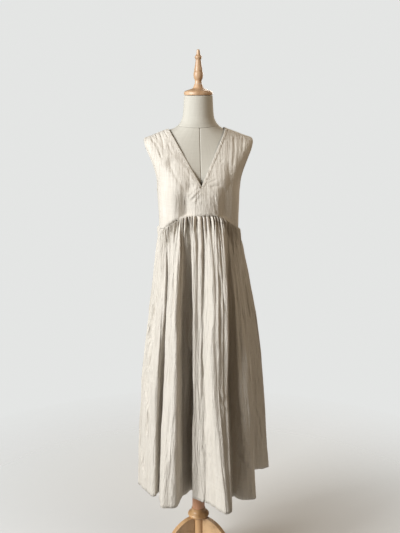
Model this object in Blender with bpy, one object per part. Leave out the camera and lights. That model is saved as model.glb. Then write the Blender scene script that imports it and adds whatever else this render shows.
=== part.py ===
# A linen pinafore dress on a limbless dress form with a wooden stand.
# Metres, +Z up, the wearer's front towards -Y. The sizes below are set out from the
# stand's post axis, and the last step puts the origin under the middle of the whole.
# Angles round the body run from the centre front (0) over +X (90) to the centre back (180).

import math

import bmesh
import bpy
import numpy as np
from mathutils import Vector
from mathutils.bvhtree import BVHTree

# Sewing
CLOTH = 0.0016            # wall of the bodice cloth
SKIRT_CLOTH = 0.0018      # wall of the gathered skirt
SEAM_GAP = 0.0004         # between the edges of two pieces at a seam
LAY_GAP = 0.0003          # between a piece and what it lies on
FORM_CLEARANCE = 0.0012   # cloth corners over the form
EDGE_CLEARANCE = 0.0007   # the cloth between its corners, over the form
BINDING_WIDTH = 0.009
BINDING_CLOTH = 0.0011

# Form
NECK_TOP_Z = 1.7120
TORSO_BASE_Z = 0.895
TORSO_COLUMNS = 40
FORM_FULLNESS = 2.15      # exponent of the form's sections, 2 is an ellipse
CLOTH_FULLNESS = 2.45
BUST_X = 0.078
BUST_Z = 1.432
BUST_HEIGHT = 0.024
BUST_SPREAD_X = 0.036
BUST_SPREAD_Z = 0.046

# Rings of the form from the neck base down: half width and its height at the side,
# depth and height at the front, depth and height at the back.
TORSO_RINGS = (
    # name         half    z_side  front   z_front back    z_back
    ("neck base",  0.0660, 1.6170, 0.0530, 1.6110, 0.0590, 1.6220),
    ("neck curve", 0.0790, 1.6085, 0.0555, 1.6020, 0.0630, 1.6130),
    ("shoulder 1", 0.1000, 1.6015, 0.0595, 1.5840, 0.0695, 1.5990),
    ("shoulder 2", 0.1250, 1.5920, 0.0655, 1.5610, 0.0785, 1.5820),
    ("shoulder 3", 0.1480, 1.5820, 0.0725, 1.5360, 0.0870, 1.5610),
    ("arm plate 1", 0.1610, 1.5720, 0.0795, 1.5140, 0.0930, 1.5400),
    ("arm plate 2", 0.1610, 1.5500, 0.0860, 1.4940, 0.0975, 1.5180),
    ("arm plate 3", 0.1520, 1.5230, 0.0915, 1.4750, 0.1000, 1.4930),
    ("arm plate 4", 0.1385, 1.4850, 0.0965, 1.4550, 0.1000, 1.4640),
    ("bust",       0.1270, 1.4450, 0.0990, 1.4350, 0.0970, 1.4380),
    ("under bust", 0.1220, 1.4000, 0.0975, 1.4000, 0.0925, 1.4000),
    ("ribs",       0.1170, 1.3500, 0.0920, 1.3500, 0.0870, 1.3500),
    ("midriff",    0.1090, 1.2850, 0.0860, 1.2850, 0.0800, 1.2850),
    ("waist",      0.1050, 1.2150, 0.0820, 1.2150, 0.0760, 1.2150),
    ("high hip",   0.1180, 1.1350, 0.0930, 1.1350, 0.0940, 1.1350),
    ("hip",        0.1390, 1.0500, 0.1030, 1.0500, 0.1120, 1.0500),
    ("seat",       0.1450, 0.9800, 0.1060, 0.9800, 0.1160, 0.9800),
    ("low hip",    0.1420, 0.9250, 0.1030, 0.9250, 0.1110, 0.9250),
    ("base edge",  0.1340, TORSO_BASE_Z, 0.0960, TORSO_BASE_Z, 0.1030, TORSO_BASE_Z),
)

# Rings of the bodice's inner face, from the neck side of the shoulder to the waist seam.
BODICE_RINGS = (
    # name         half    z_side  front   z_front back    z_back
    ("neck side",  0.0780, 1.6105, 0.0570, 1.6010, 0.0645, 1.6140),
    ("shoulder 1", 0.1000, 1.6035, 0.0610, 1.5850, 0.0710, 1.6000),
    ("shoulder 2", 0.1250, 1.5945, 0.0670, 1.5620, 0.0800, 1.5830),
    ("shoulder 3", 0.1500, 1.5845, 0.0740, 1.5370, 0.0890, 1.5620),
    ("shoulder tip", 0.1735, 1.5745, 0.0815, 1.5120, 0.0955, 1.5400),
    ("armhole 1",  0.1750, 1.5540, 0.0890, 1.4920, 0.1000, 1.5180),
    ("armhole 2",  0.1645, 1.5240, 0.0970, 1.4720, 0.1030, 1.4930),
    ("armhole 3",  0.1485, 1.4850, 0.1050, 1.4520, 0.1035, 1.4640),
    ("armhole 4",  0.1365, 1.4480, 0.1110, 1.4340, 0.1020, 1.4380),
    ("underarm",   0.1330, 1.4130, 0.1150, 1.4130, 0.1005, 1.4130),
    ("under bust", 0.1315, 1.3800, 0.1155, 1.3930, 0.0995, 1.3850),
    ("side 1",     0.1300, 1.3480, 0.1150, 1.3750, 0.0995, 1.3570),
    ("side 2",     0.1290, 1.3170, 0.1145, 1.3570, 0.1000, 1.3290),
    ("waist seam", 0.1285, 1.2870, 0.1145, 1.3390, 0.1005, 1.3010),
)
SHOULDER_TIP_RING = 4.0
UNDERARM_RING = 9.0
WAIST_RING = 13.0
BODICE_BUST = 0.35        # share of the form's bust height that the cloth shows
WAIST_ARCH_FLAT = 9.0     # degrees each side of the centre where the seam runs level
WAIST_ARCH_END = 76.0     # degrees where it has come down to the side

# Neckline and armholes
NECK_POINT_X = {-1: 0.0960, 1: 0.0840}
V_TIP_Z = 1.4330
BACK_NECK_Z = 1.5450
ARMHOLE_SCOOP = {"front": 21.0, "back": 17.0}
HALF_COLUMNS = 11
BODICE_ROWS = {"front": 18, "back": 16}
NECK_ROW = {"front": 12, "back": 8}
UNDERARM_ROW = {"front": 12, "back": 11}

# Skirt
GATHERS = 44              # on each panel
SKIRT_COLUMNS = 2 * GATHERS
HEM_Z = 0.3490
HEM_HALF_WIDTH = 0.212
HEM_FRONT = 0.158
HEM_BACK = 0.172
FLARE = 1.65              # how early the skirt reaches its full width
FOLD_GROWTH = 2.3         # how early the folds reach their full depth
FORM_GAP = 0.0065         # between the skirt's hollows and the form
GATHER_DEPTH = 0.0030
GATHER_FADE = 0.055
SKIRT_ROWS = (0.0, 0.018, 0.045, 0.09, 0.16, 0.26, 0.40, 0.58, 0.79, 1.0)

# The folds at the hem, each with its two outer corners and the hollow after it (x, y),
# the rounding of the three, the angle of the hollow at the waist seam and the hem's
# rise there. The first starts at the last one's hollow.
FOLDS = (
    # name left corner        right corner       hollow after       radii: left right hollow  waist  rise
    ("a", (-0.2250, 0.0260), (-0.1640, -0.0980), (-0.1400, -0.0330), 0.030, 0.010, 0.009, -51.0, 0.004),
    ("b", (-0.1450, -0.1640), (-0.0840, -0.1660), (-0.0400, -0.0640), 0.022, 0.024, 0.014, -13.7, 0.010),
    ("c", (-0.0320, -0.0930), (0.0880, -0.2240), (0.1120, -0.1000), 0.010, 0.017, 0.008, 34.0, 0.003),
    ("d", (0.1300, -0.1340), (0.1850, -0.1330), (0.2090, 0.0690), 0.030, 0.026, 0.010, 72.0, 0.006),
    ("e", (0.2480, 0.0730), (0.2880, 0.1060), (0.1700, 0.1040), 0.030, 0.012, 0.014, 112.0, 0.008),
    ("f", (0.2120, 0.1720), (0.1800, 0.2000), (0.1120, 0.1260), 0.022, 0.020, 0.016, 142.0, 0.006),
    ("g", (0.0950, 0.2260), (0.0420, 0.2420), (0.0120, 0.1360), 0.026, 0.024, 0.016, 173.0, 0.006),
    ("h", (-0.0280, 0.2200), (-0.0850, 0.2260), (-0.0960, 0.1300), 0.026, 0.022, 0.016, 205.0, 0.006),
    ("i", (-0.1550, 0.1960), (-0.2060, 0.1500), (-0.1540, 0.0880), 0.024, 0.022, 0.016, 240.0, 0.006),
)

# Pressed-in pleats that start at the waist seam and die out on the way down.
PLEATS = (
    # name       waist   hem     depth   width  length
    ("side a",   -80.0, -78.0, 0.0050, 3.0, 0.30),
    ("a 1",      -66.0, -67.0, 0.0060, 2.6, 0.34),
    ("a 2",      -57.0, -57.0, 0.0040, 2.2, 0.22),
    ("b 1",      -40.0, -40.0, 0.0045, 2.4, 0.28),
    ("b 2",      -31.6, -30.0, 0.0055, 2.6, 0.20),
    ("b 3",      -22.0, -21.0, 0.0045, 2.4, 0.26),
    ("c 1",       -7.5,  -7.0, 0.0055, 2.4, 0.32),
    ("c 2",        2.0,   2.5, 0.0070, 2.6, 0.36),
    ("c 3",       14.3,  18.0, 0.0065, 2.8, 0.34),
    ("c 4",       24.5,  26.0, 0.0045, 2.4, 0.24),
    ("d 1",       47.0,  46.0, 0.0065, 2.8, 0.32),
    ("d 2",       59.0,  58.0, 0.0045, 2.6, 0.26),
    ("e 1",       83.0,  84.0, 0.0055, 2.8, 0.30),
    ("e 2",       98.0,  97.0, 0.0050, 2.8, 0.26),
    ("f 1",      121.0, 120.0, 0.0060, 2.8, 0.34),
    ("f 2",      132.0, 133.0, 0.0045, 2.6, 0.24),
    ("g 1",      151.0, 150.0, 0.0055, 2.8, 0.30),
    ("g 2",      162.0, 163.0, 0.0060, 2.6, 0.26),
    ("h 1",      183.0, 182.0, 0.0060, 2.8, 0.34),
    ("h 2",      194.0, 195.0, 0.0045, 2.6, 0.24),
    ("i 1",      216.0, 215.0, 0.0055, 2.8, 0.30),
    ("i 2",      228.0, 229.0, 0.0060, 2.6, 0.28),
    ("a back",   253.0, 252.0, 0.0055, 2.8, 0.30),
    ("side back", 266.0, 267.0, 0.0045, 2.6, 0.24),
)

# Wooden pieces
POST_RADIUS = 0.0222
COLLAR_TOP_Z = 0.2535
COLLAR_BASE_Z = 0.2213
HUB_RADIUS = 0.0220
HUB_BASE_Z = 0.0980
LEG_SEAT_GAP = 0.0009      # the leg's faceted seat round the hub
LEG_THICKNESS = 0.0190
LEG_ANGLES = {"leg_left": -65.0, "leg_right": 55.0, "leg_back": 175.0}
TURNED_SIDES = 24
FINIAL_SIDES = 16

# Neck of the form above the torso: half width, half depth, height.
NECK_RINGS = (
    (0.0570, 0.0520, 1.6290),
    (0.0508, 0.0490, 1.6440),
    (0.0480, 0.0475, 1.6700),
    (0.0468, 0.0468, 1.6950),
    (0.0460, 0.0460, NECK_TOP_Z),
)
# Radius and height, from below.
CAP_PROFILE = (
    (0.0435, 0.0003), (0.0455, 0.0022), (0.0458, 0.0088), (0.0442, 0.0120),
    (0.0395, 0.0150), (0.0290, 0.0186), (0.0195, 0.0220), (0.0128, 0.0268),
    (0.0096, 0.0320), (0.0086, 0.0360),
)
FINIAL_PROFILE = (
    (0.0080, 0.0363), (0.0073, 0.0395), (0.0080, 0.0440), (0.0108, 0.0492),
    (0.0138, 0.0550), (0.0148, 0.0600), (0.0138, 0.0664), (0.0112, 0.0722),
    (0.0101, 0.0750), (0.0107, 0.0768), (0.0100, 0.0815), (0.0083, 0.0895),
    (0.0064, 0.0985), (0.0052, 0.1070), (0.0050, 0.1125), (0.0078, 0.1145),
    (0.0106, 0.1180), (0.0104, 0.1212), (0.0070, 0.1242), (0.0055, 0.1290),
    (0.0046, 0.1370), (0.0036, 0.1420),
)
COLLAR_PROFILE = (
    (0.0290, COLLAR_BASE_Z), (0.0360, 0.2232), (0.0382, 0.2275), (0.0368, 0.2322),
    (0.0322, 0.2362), (0.0272, 0.2410), (0.0252, 0.2465), (0.0246, COLLAR_TOP_Z),
)
# Outline of a leg from the hub's top along its upper edge to the toe: reach, height.
LEG_UPPER = (
    (0.0300, 0.2200), (0.0470, 0.2172), (0.0680, 0.2085), (0.0880, 0.1950),
    (0.1060, 0.1765), (0.1230, 0.1520), (0.1400, 0.1220), (0.1570, 0.0930),
    (0.1770, 0.0670), (0.2010, 0.0480), (0.2250, 0.0370), (0.2440, 0.0290),
    (0.2540, 0.0170), (0.2540, 0.0040), (0.2500, 0.0000),
)
# and back along its lower edge.
LEG_LOWER = (
    (0.2120, 0.0000), (0.1930, 0.0080), (0.1720, 0.0230), (0.1520, 0.0440),
    (0.1340, 0.0700), (0.1170, 0.0950), (0.0980, 0.1130), (0.0750, 0.1220),
    (0.0500, 0.1200), (0.0300, 0.1150),
)


def clear_scene():
    """Remove the start-up objects."""
    for obj in list(bpy.data.objects):
        bpy.data.objects.remove(obj, do_unlink=True)


def finish(name, colour, roughness):
    """A plain Principled finish."""
    material = bpy.data.materials.new(name)
    material.use_nodes = True
    shader = material.node_tree.nodes["Principled BSDF"]
    shader.inputs["Base Color"].default_value = (*colour, 1.0)
    shader.inputs["Roughness"].default_value = roughness
    shader.inputs["Metallic"].default_value = 0.0
    return material


def add_piece(name, points, faces, material, sharp_angle=35.0):
    """Make one named object from its corners and faces."""
    mesh = bpy.data.meshes.new(name)
    mesh.from_pydata([tuple(map(float, p)) for p in points], [], faces)
    shell = bmesh.new()
    shell.from_mesh(mesh)
    bmesh.ops.recalc_face_normals(shell, faces=shell.faces)
    shell.to_mesh(mesh)
    shell.free()
    mesh.materials.append(material)
    mesh.shade_smooth()
    mesh.set_sharp_from_angle(angle=math.radians(sharp_angle))
    obj = bpy.data.objects.new(name, mesh)
    bpy.context.scene.collection.objects.link(obj)
    return obj


def ring_row(rings, level):
    """Sizes of the section at a level between two rows of a ring table."""
    values = np.array([row[1:] for row in rings])
    return np.array([np.interp(level, range(len(rings)), values[:, k]) for k in range(6)])


def waist_arch(degrees):
    """How far the seam line has risen from the side (0) to the centre (1)."""
    away = min(abs(degrees), 180.0 - abs(degrees))
    share = (WAIST_ARCH_END - away) / (WAIST_ARCH_END - WAIST_ARCH_FLAT)
    share = min(max(share, 0.0), 1.0)
    return share * share * (3.0 - 2.0 * share)


def section_point(rings, level, degrees, fullness, arched=0.0):
    """A point of a ringed body at a level and an angle round it."""
    half, z_side, front, z_front, back, z_back = ring_row(rings, level)
    angle = math.radians(degrees)
    side = math.sin(angle)
    ahead = math.cos(angle)
    depth = front if ahead > 0 else back
    z_middle = z_front if ahead > 0 else z_back
    power = 2.0 / fullness
    x = half * math.copysign(abs(side) ** power, side)
    y = -depth * math.copysign(abs(ahead) ** power, ahead)
    wrapped = (degrees + 180.0) % 360.0 - 180.0
    rise = ahead * ahead * (1.0 - arched) + waist_arch(wrapped) * arched
    return np.array([x, y, z_side + (z_middle - z_side) * rise])


def bust_shape(x, z):
    """Forward lift of the bust at a place on the front, 1 at its fullest."""
    across = (abs(x) - BUST_X) / BUST_SPREAD_X
    along = (z - BUST_Z) / BUST_SPREAD_Z
    return math.exp(-0.5 * (across * across + along * along))


def torso_point(level, degrees):
    """A point on the form's surface."""
    point = section_point(TORSO_RINGS, level, degrees, FORM_FULLNESS)
    if point[1] < 0.0:
        point[1] -= BUST_HEIGHT * bust_shape(point[0], point[2])
    return point


def bodice_point(level, degrees):
    """A point on the inner face of the bodice cloth."""
    arched = min(max((level - UNDERARM_RING) / (WAIST_RING - UNDERARM_RING), 0.0), 1.0)
    point = section_point(BODICE_RINGS, level, degrees, CLOTH_FULLNESS, arched)
    if point[1] < 0.0:
        point[1] -= BUST_HEIGHT * BODICE_BUST * bust_shape(point[0], point[2])
    return point


def outward(surface, level, degrees):
    """Outward normal of a ringed surface."""
    step = 0.02
    low = max(level - step, 0.0)
    high = min(level + step, WAIST_RING)
    down = surface(high, degrees) - surface(low, degrees)
    along = surface(level, degrees + 0.5) - surface(level, degrees - 0.5)
    normal = np.cross(down, along)
    return normal / np.linalg.norm(normal)


def grid_faces(rows, columns, wrap=False):
    """Corner triples of a grid seen from the outside, rows going down, columns right."""
    faces = []
    width = columns if wrap else columns + 1
    for row in range(rows):
        for column in range(columns):
            after = (column + 1) % width if wrap else column + 1
            a = row * width + column
            b = row * width + after
            c = (row + 1) * width + after
            d = (row + 1) * width + column
            faces.append((a, d, c))
            faces.append((a, c, b))
    return faces


def ringed_solid(rings_of_points):
    """A closed body through rings of points, top first, with a middle point at each end."""
    count = len(rings_of_points[0])
    points = [p for ring in rings_of_points for p in ring]
    faces = grid_faces(len(rings_of_points) - 1, count, wrap=True)
    top = len(points)
    points.append(np.mean(rings_of_points[0], axis=0))
    base = len(points)
    points.append(np.mean(rings_of_points[-1], axis=0))
    last = (len(rings_of_points) - 1) * count
    for k in range(count):
        after = (k + 1) % count
        faces.append((top, k, after))
        faces.append((base, last + after, last + k))
    return points, faces


def turned_piece(name, profile, sides, material, lift=0.0):
    """A piece turned on the lathe round the post axis, from a profile given from below."""
    rings = []
    for radius, height in reversed(profile):
        ring = []
        for k in range(sides):
            angle = 2.0 * math.pi * k / sides
            ring.append((radius * math.sin(angle), -radius * math.cos(angle), height + lift))
        rings.append(ring)
    points, faces = ringed_solid(rings)
    return add_piece(name, points, faces, material)


def build_form(cover):
    """The stuffed torso and its neck, parted at the neck seam."""
    angles = [360.0 * k / TORSO_COLUMNS for k in range(TORSO_COLUMNS)]
    rings = [[torso_point(level, a) for a in angles] for level in range(len(TORSO_RINGS))]
    points, faces = ringed_solid(rings)
    add_piece("form_torso", points, faces, cover)
    tree = BVHTree.FromPolygons([Vector(p) for p in points], faces)

    neck_rings = []
    for half, depth, height in reversed(NECK_RINGS):
        ring = []
        for a in angles:
            angle = math.radians(a)
            ring.append(np.array([half * math.sin(angle), -depth * math.cos(angle), height]))
        neck_rings.append(ring)
    seat = [p + np.array([0.0, 0.0, LAY_GAP]) for p in rings[0]]
    neck_rings.append(seat)
    points, faces = ringed_solid(neck_rings)
    add_piece("form_neck", points, faces, cover)
    return tree


def armhole_edge(part, share):
    """Level and angle of the armhole's edge, from the shoulder tip (0) to the underarm (1)."""
    level = SHOULDER_TIP_RING + (UNDERARM_RING - SHOULDER_TIP_RING) * share
    bow = math.sin(math.pi * share ** 0.85) ** 0.62 if 0.0 < share < 1.0 else 0.0
    return level, 90.0 - ARMHOLE_SCOOP[part] * bow


def place_on_bodice(part, x, z):
    """Level and angle where a bodice panel passes a place seen from the front or back."""
    low, high = 0.0, WAIST_RING
    for _ in range(40):
        level = 0.5 * (low + high)
        share = min(abs(x) / ring_row(BODICE_RINGS, level)[0], 1.0)
        degrees = math.degrees(math.asin(share ** (CLOTH_FULLNESS / 2.0)))
        if part == "back":
            degrees = 180.0 - degrees
        if bodice_point(level, degrees)[2] > z:
            low = level
        else:
            high = level
    return level, degrees


def shoulder_level(x):
    """Level of the shoulder seam at a distance from the middle."""
    halves = [row[1] for row in BODICE_RINGS[:5]]
    return float(np.interp(x, halves, range(5)))


def binding_drop(part, side):
    """How far below the neckline's lowest point its binding reaches."""
    if part == "back":
        return BINDING_WIDTH
    run = NECK_POINT_X[side]
    fall = bodice_point(shoulder_level(run), 90.0)[2] - V_TIP_Z
    return BINDING_WIDTH * math.hypot(run, fall) / run


def neckline(part, side, share, bound=False):
    """Level and angle on the neckline, or on the inner line of its binding."""
    inset = BINDING_WIDTH if bound else 0.0
    drop = binding_drop(part, side) if bound else 0.0
    x_start = NECK_POINT_X[side] + inset
    level_start = shoulder_level(x_start)
    if share == 0.0:
        return level_start, 90.0
    z_start = bodice_point(level_start, 90.0)[2]
    if part == "front":
        x = x_start * (1.0 - share)
        z = z_start + (V_TIP_Z - drop - z_start) * share
        if share == 1.0 and bound:
            x = 0.55 * BINDING_WIDTH
            z = V_TIP_Z - 0.75 * drop
        return place_on_bodice(part, x, z)
    quarter = share * math.pi / 2.0
    x = x_start * math.cos(quarter)
    z = z_start + (BACK_NECK_Z - drop - z_start) * math.sin(quarter)
    if share == 1.0 and bound:
        x = 0.5 * BINDING_WIDTH
    return place_on_bodice(part, x, z)


def even_shares(curve, count):
    """Shares of a curve of (level, angle) places that part it into equal lengths."""
    shares = np.linspace(0.0, 1.0, 61)
    spots = np.array([bodice_point(*curve(share)) for share in shares])
    steps = np.linalg.norm(np.diff(spots, axis=0), axis=1)
    lengths = np.concatenate([[0.0], np.cumsum(steps)])
    return np.interp(np.linspace(0.0, lengths[-1], count + 1), lengths, shares)


def bodice_half(part, side):
    """Grid of (level, angle) for one half of a bodice panel, rows from the shoulder down,
    columns from the neckline or centre to the armhole or side."""
    rows = BODICE_ROWS[part]
    neck_row = NECK_ROW[part]
    underarm_row = UNDERARM_ROW[part]
    middle = 0.0 if part == "front" else 180.0
    tip_z = bodice_point(*neckline(part, side, 1.0))[2]
    mitre_z = tip_z - max(binding_drop(part, half) for half in (-1, 1))
    mitre_level = place_on_bodice(part, 0.0, mitre_z)[0]
    under_z = bodice_point(UNDERARM_RING, 90.0)[2]
    levels = np.linspace(UNDERARM_RING, WAIST_RING, 200)
    heights = [bodice_point(v, 90.0)[2] for v in levels]
    under_level = float(np.interp(under_z - BINDING_WIDTH, heights[::-1], levels[::-1]))

    neck_shares = even_shares(lambda share: neckline(part, side, share), neck_row)
    arm_shares = even_shares(lambda share: armhole_edge(part, share), underarm_row)
    grid = []
    for row in range(rows + 1):
        if row <= neck_row:
            inner = neckline(part, side, neck_shares[row])
            inner_line = neckline(part, side, neck_shares[row], bound=True)
        else:
            share = (row - neck_row - 1) / (rows - neck_row - 1)
            inner = (mitre_level + (WAIST_RING - mitre_level) * share, middle)
            inner_line = None
        if row <= underarm_row:
            outer = armhole_edge(part, arm_shares[row])
        else:
            share = (row - underarm_row - 1) / (rows - underarm_row - 1)
            outer = (under_level + (WAIST_RING - under_level) * share, 90.0)
        if part == "back":
            outer = (outer[0], 180.0 - outer[1])
        inner = np.array(inner)
        outer = np.array(outer)
        if inner_line is None:
            inner_line = inner + (outer - inner) / HALF_COLUMNS
        inner_line = np.array(inner_line)
        outer_line = outer + (inner_line - outer) * binding_share(part, row, underarm_row)
        nodes = [inner]
        for column in range(1, HALF_COLUMNS):
            share = (column - 1) / (HALF_COLUMNS - 2)
            nodes.append(inner_line + (outer_line - inner_line) * share)
        nodes.append(outer)
        grid.append(nodes)
    return grid


def binding_share(part, row, underarm_row):
    """Share of the row's length that the armhole binding takes."""
    if row <= underarm_row:
        return 0.085
    return 1.0 / HALF_COLUMNS


def settle(point, tree):
    """Keep a cloth corner clear of the form."""
    spot, normal, _, _ = tree.find_nearest(Vector(point))
    rise = (Vector(point) - spot).dot(normal)
    if rise < FORM_CLEARANCE:
        point = point + np.array(normal) * (FORM_CLEARANCE - rise)
    return point


def ease_over_form(points, tree):
    """Lift neighbouring corners where the cloth between them would touch the form."""
    last_row = len(points) - 1
    last_column = len(points[0]) - 1
    for _ in range(4):
        for row in range(last_row + 1):
            for column in range(last_column + 1):
                for down, right in ((1, 0), (0, 1), (1, 1), (1, -1)):
                    if row + down > last_row or not 0 <= column + right <= last_column:
                        continue
                    first = points[row][column]
                    second = points[row + down][column + right]
                    middle = Vector(0.5 * (first + second))
                    spot, normal, _, _ = tree.find_nearest(middle)
                    rise = (middle - spot).dot(normal)
                    if rise < EDGE_CLEARANCE:
                        lift = np.array(normal) * (EDGE_CLEARANCE - rise)
                        lift[1] *= 0.0 if row == 0 else 1.0
                        first += lift
                        second += lift


def bodice_panel(part, tree):
    """Inner corners of a panel and their outward directions, as [side][row][column]."""
    inner = {}
    outward_from = {}
    away = -1.0 if part == "front" else 1.0
    under_row = UNDERARM_ROW[part]
    for side in (-1, 1):
        mirror = np.array([float(side), 1.0, 1.0])
        points = []
        normals = []
        for row, nodes in enumerate(bodice_half(part, side)):
            point_row = []
            normal_row = []
            for column, (level, degrees) in enumerate(nodes):
                point = bodice_point(level, degrees) * mirror
                normal = outward(bodice_point, level, degrees) * mirror
                at_seam = row == 0 or (column == HALF_COLUMNS and row >= under_row)
                point = settle(point, tree)
                if at_seam:
                    normal[1] = 0.0
                    point[1] = away * SEAM_GAP / 2.0
                if column == 0 and row >= NECK_ROW[part]:
                    normal[0] = 0.0
                if row == BODICE_ROWS[part]:
                    normal[2] = 0.0
                    point[2] += SEAM_GAP
                point_row.append(point)
                normal_row.append(normal / np.linalg.norm(normal))
            points.append(point_row)
            normals.append(normal_row)
        ease_over_form(points, tree)
        inner[side] = points
        outward_from[side] = normals
    for row in range(NECK_ROW[part], BODICE_ROWS[part] + 1):
        middle = 0.5 * (inner[-1][row][0] + inner[1][row][0])
        middle[0] = 0.0
        inner[-1][row][0] = middle
        inner[1][row][0] = middle
    return inner, outward_from


def half_cells(rows, columns):
    """The triangles of a half panel as grid places. The diagonals follow the bindings'."""
    cells = []
    for row in range(rows):
        for column in range(columns):
            a = (row, column)
            b = (row, column + 1)
            c = (row + 1, column + 1)
            d = (row + 1, column)
            if column < columns // 2:
                cells.append((a, d, b))
                cells.append((b, d, c))
            else:
                cells.append((a, d, c))
                cells.append((a, c, b))
    return cells


def build_bodice(part, tree, cloth):
    """One bodice panel as a closed wall, split above the neckline's lowest point."""
    inner, outward_from = bodice_panel(part, tree)
    rows = BODICE_ROWS[part]
    neck_row = NECK_ROW[part]
    points = []
    index = {}

    def corner(layer, side, row, column):
        key_side = 0 if column == 0 and row >= neck_row else side
        key = (layer, key_side, row, column)
        if key not in index:
            index[key] = len(points)
            normal = outward_from[side][row][column]
            points.append(inner[side][row][column] + normal * CLOTH * layer)
        return index[key]

    faces = []
    for side in (-1, 1):
        for cell in half_cells(rows, HALF_COLUMNS):
            for layer in (0, 1):
                faces.append(tuple(corner(layer, side, *place) for place in cell))
        edges = [((0, column), (0, column + 1)) for column in range(HALF_COLUMNS)]
        edges += [((rows, column), (rows, column + 1)) for column in range(HALF_COLUMNS)]
        edges += [((row, HALF_COLUMNS), (row + 1, HALF_COLUMNS)) for row in range(rows)]
        edges += [((row, 0), (row + 1, 0)) for row in range(neck_row)]
        for first, second in edges:
            a = corner(1, side, *first)
            b = corner(1, side, *second)
            c = corner(0, side, *second)
            d = corner(0, side, *first)
            faces.append((a, b, c))
            faces.append((a, c, d))
    add_piece("bodice_" + part, points, faces, cloth)
    return inner, outward_from


def neck_stations():
    """The neckline's places in order round the neck: pairs of edge and inner line."""
    stations = []
    for part, sides in (("front", (-1, 1)), ("back", (1, -1))):
        tip = NECK_ROW[part]
        for side, rows in ((sides[0], range(tip + 1)), (sides[1], range(tip, -1, -1))):
            if side == sides[1]:
                stations.append(((part, 1, tip, 0), (part, 1, tip + 1, 0)))
            for row in rows:
                edge_side = 1 if row == tip else side
                stations.append(((part, edge_side, row, 0), (part, side, row, 1)))
    return stations


def armhole_stations(side):
    """The armhole's places in order round the arm opening."""
    last = HALF_COLUMNS
    under_front = UNDERARM_ROW["front"]
    under_back = UNDERARM_ROW["back"]
    stations = []
    for row in range(under_front + 1):
        stations.append((("front", side, row, last), ("front", side, row, last - 1)))
    for part, row in (("front", under_front), ("back", under_back)):
        stations.append(((part, side, row, last), (part, side, row + 1, last)))
    for row in range(under_back, -1, -1):
        stations.append((("back", side, row, last), ("back", side, row, last - 1)))
    return stations


def build_binding(name, stations, panels, cloth):
    """A bias strip on the panels' own corners, moved out and thickened."""
    points = []
    index = {}

    def corner(place, layer):
        if (place, layer) not in index:
            part, side, row, column = place
            inner, outward_from = panels[part]
            normal = outward_from[side][row][column]
            index[(place, layer)] = len(points)
            height = CLOTH + LAY_GAP + BINDING_CLOTH * layer
            points.append(inner[side][row][column] + normal * height)
        return index[(place, layer)]

    faces = []

    def wall(first, second):
        a, b = corner(first, 0), corner(second, 0)
        c, d = corner(second, 1), corner(first, 1)
        faces.append((a, b, c))
        faces.append((a, c, d))

    for k, (edge, line) in enumerate(stations):
        next_edge, next_line = stations[(k + 1) % len(stations)]
        wall(line, next_line)
        if edge == next_edge:
            triangles = [(edge, line, next_line)]
        elif next_line[2] > line[2]:
            triangles = [(edge, line, next_edge), (line, next_line, next_edge)]
        else:
            triangles = [(edge, line, next_line), (edge, next_line, next_edge)]
        if edge != next_edge:
            wall(edge, next_edge)
        for triangle in triangles:
            for layer in (0, 1):
                faces.append(tuple(corner(place, layer) for place in triangle))
    add_piece(name, points, faces, cloth)


def rounded_outline(corners, step=0.002):
    """A closed line through rounded corners (x, y, radius), and where each corner lies on it."""
    count = len(corners)
    line = []
    marks = []
    for k in range(count):
        here = np.array(corners[k][:2])
        before = np.array(corners[k - 1][:2]) - here
        after = np.array(corners[(k + 1) % count][:2]) - here
        reach_before = np.linalg.norm(before)
        reach_after = np.linalg.norm(after)
        before = before / reach_before
        after = after / reach_after
        half = 0.5 * math.acos(np.clip(before @ after, -1.0, 1.0))
        tangent = min(corners[k][2] / math.tan(half), 0.46 * min(reach_before, reach_after))
        radius = tangent * math.tan(half)
        middle = before + after
        middle = middle / np.linalg.norm(middle)
        centre = here + middle * radius / math.sin(half)
        start = here + before * tangent - centre
        end = here + after * tangent - centre
        sweep = math.pi - 2.0 * half
        turn = math.copysign(1.0, start[0] * end[1] - start[1] * end[0])
        pieces = max(int(sweep * radius / step), 6)
        base = math.atan2(start[1], start[0])
        for j in range(pieces + 1):
            angle = base + turn * sweep * j / pieces
            if j == pieces // 2:
                marks.append(len(line))
            line.append(centre + radius * np.array([math.cos(angle), math.sin(angle)]))
    return np.array(line), marks


def hem_line():
    """The hem's plan with, for every point, its angle at the waist seam and its rise."""
    corners = []
    for _, left, right, hollow, radius_left, radius_right, radius_hollow, _, _ in FOLDS:
        corners.append((*left, radius_left))
        corners.append((*right, radius_right))
        corners.append((*hollow, radius_hollow))
    line, marks = rounded_outline(corners)
    closed = np.vstack([line, line[:1]])
    lengths = np.concatenate([[0.0], np.cumsum(np.linalg.norm(np.diff(closed, axis=0), axis=1))])
    total = lengths[-1]
    hollows = [lengths[marks[3 * k + 2]] for k in range(len(FOLDS))]
    waists = [row[7] for row in FOLDS]
    rises = [row[8] for row in FOLDS]
    hollows = [hollows[-1] - total] + hollows + [hollows[0] + total]
    waists = [waists[-1] - 360.0] + waists + [waists[0] + 360.0]
    rises = [rises[-1]] + rises + [rises[0]]
    return closed, lengths, total, hollows, waists, rises


HEM = hem_line()


def hem_point(degrees):
    """Plan point of the hem for an angle at the waist seam, and the hem's rise there."""
    closed, lengths, total, hollows, waists, rises = HEM
    wrapped = (degrees - waists[0]) % 360.0 + waists[0]
    place = np.interp(wrapped, waists, hollows)
    nearest = min(abs(place - h) for h in hollows)
    rise = np.interp(wrapped, waists, rises) * math.exp(-(nearest / 0.05) ** 2)
    place = place % total
    x = np.interp(place, lengths, closed[:, 0])
    y = np.interp(place, lengths, closed[:, 1])
    return np.array([x, y]), rise


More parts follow.
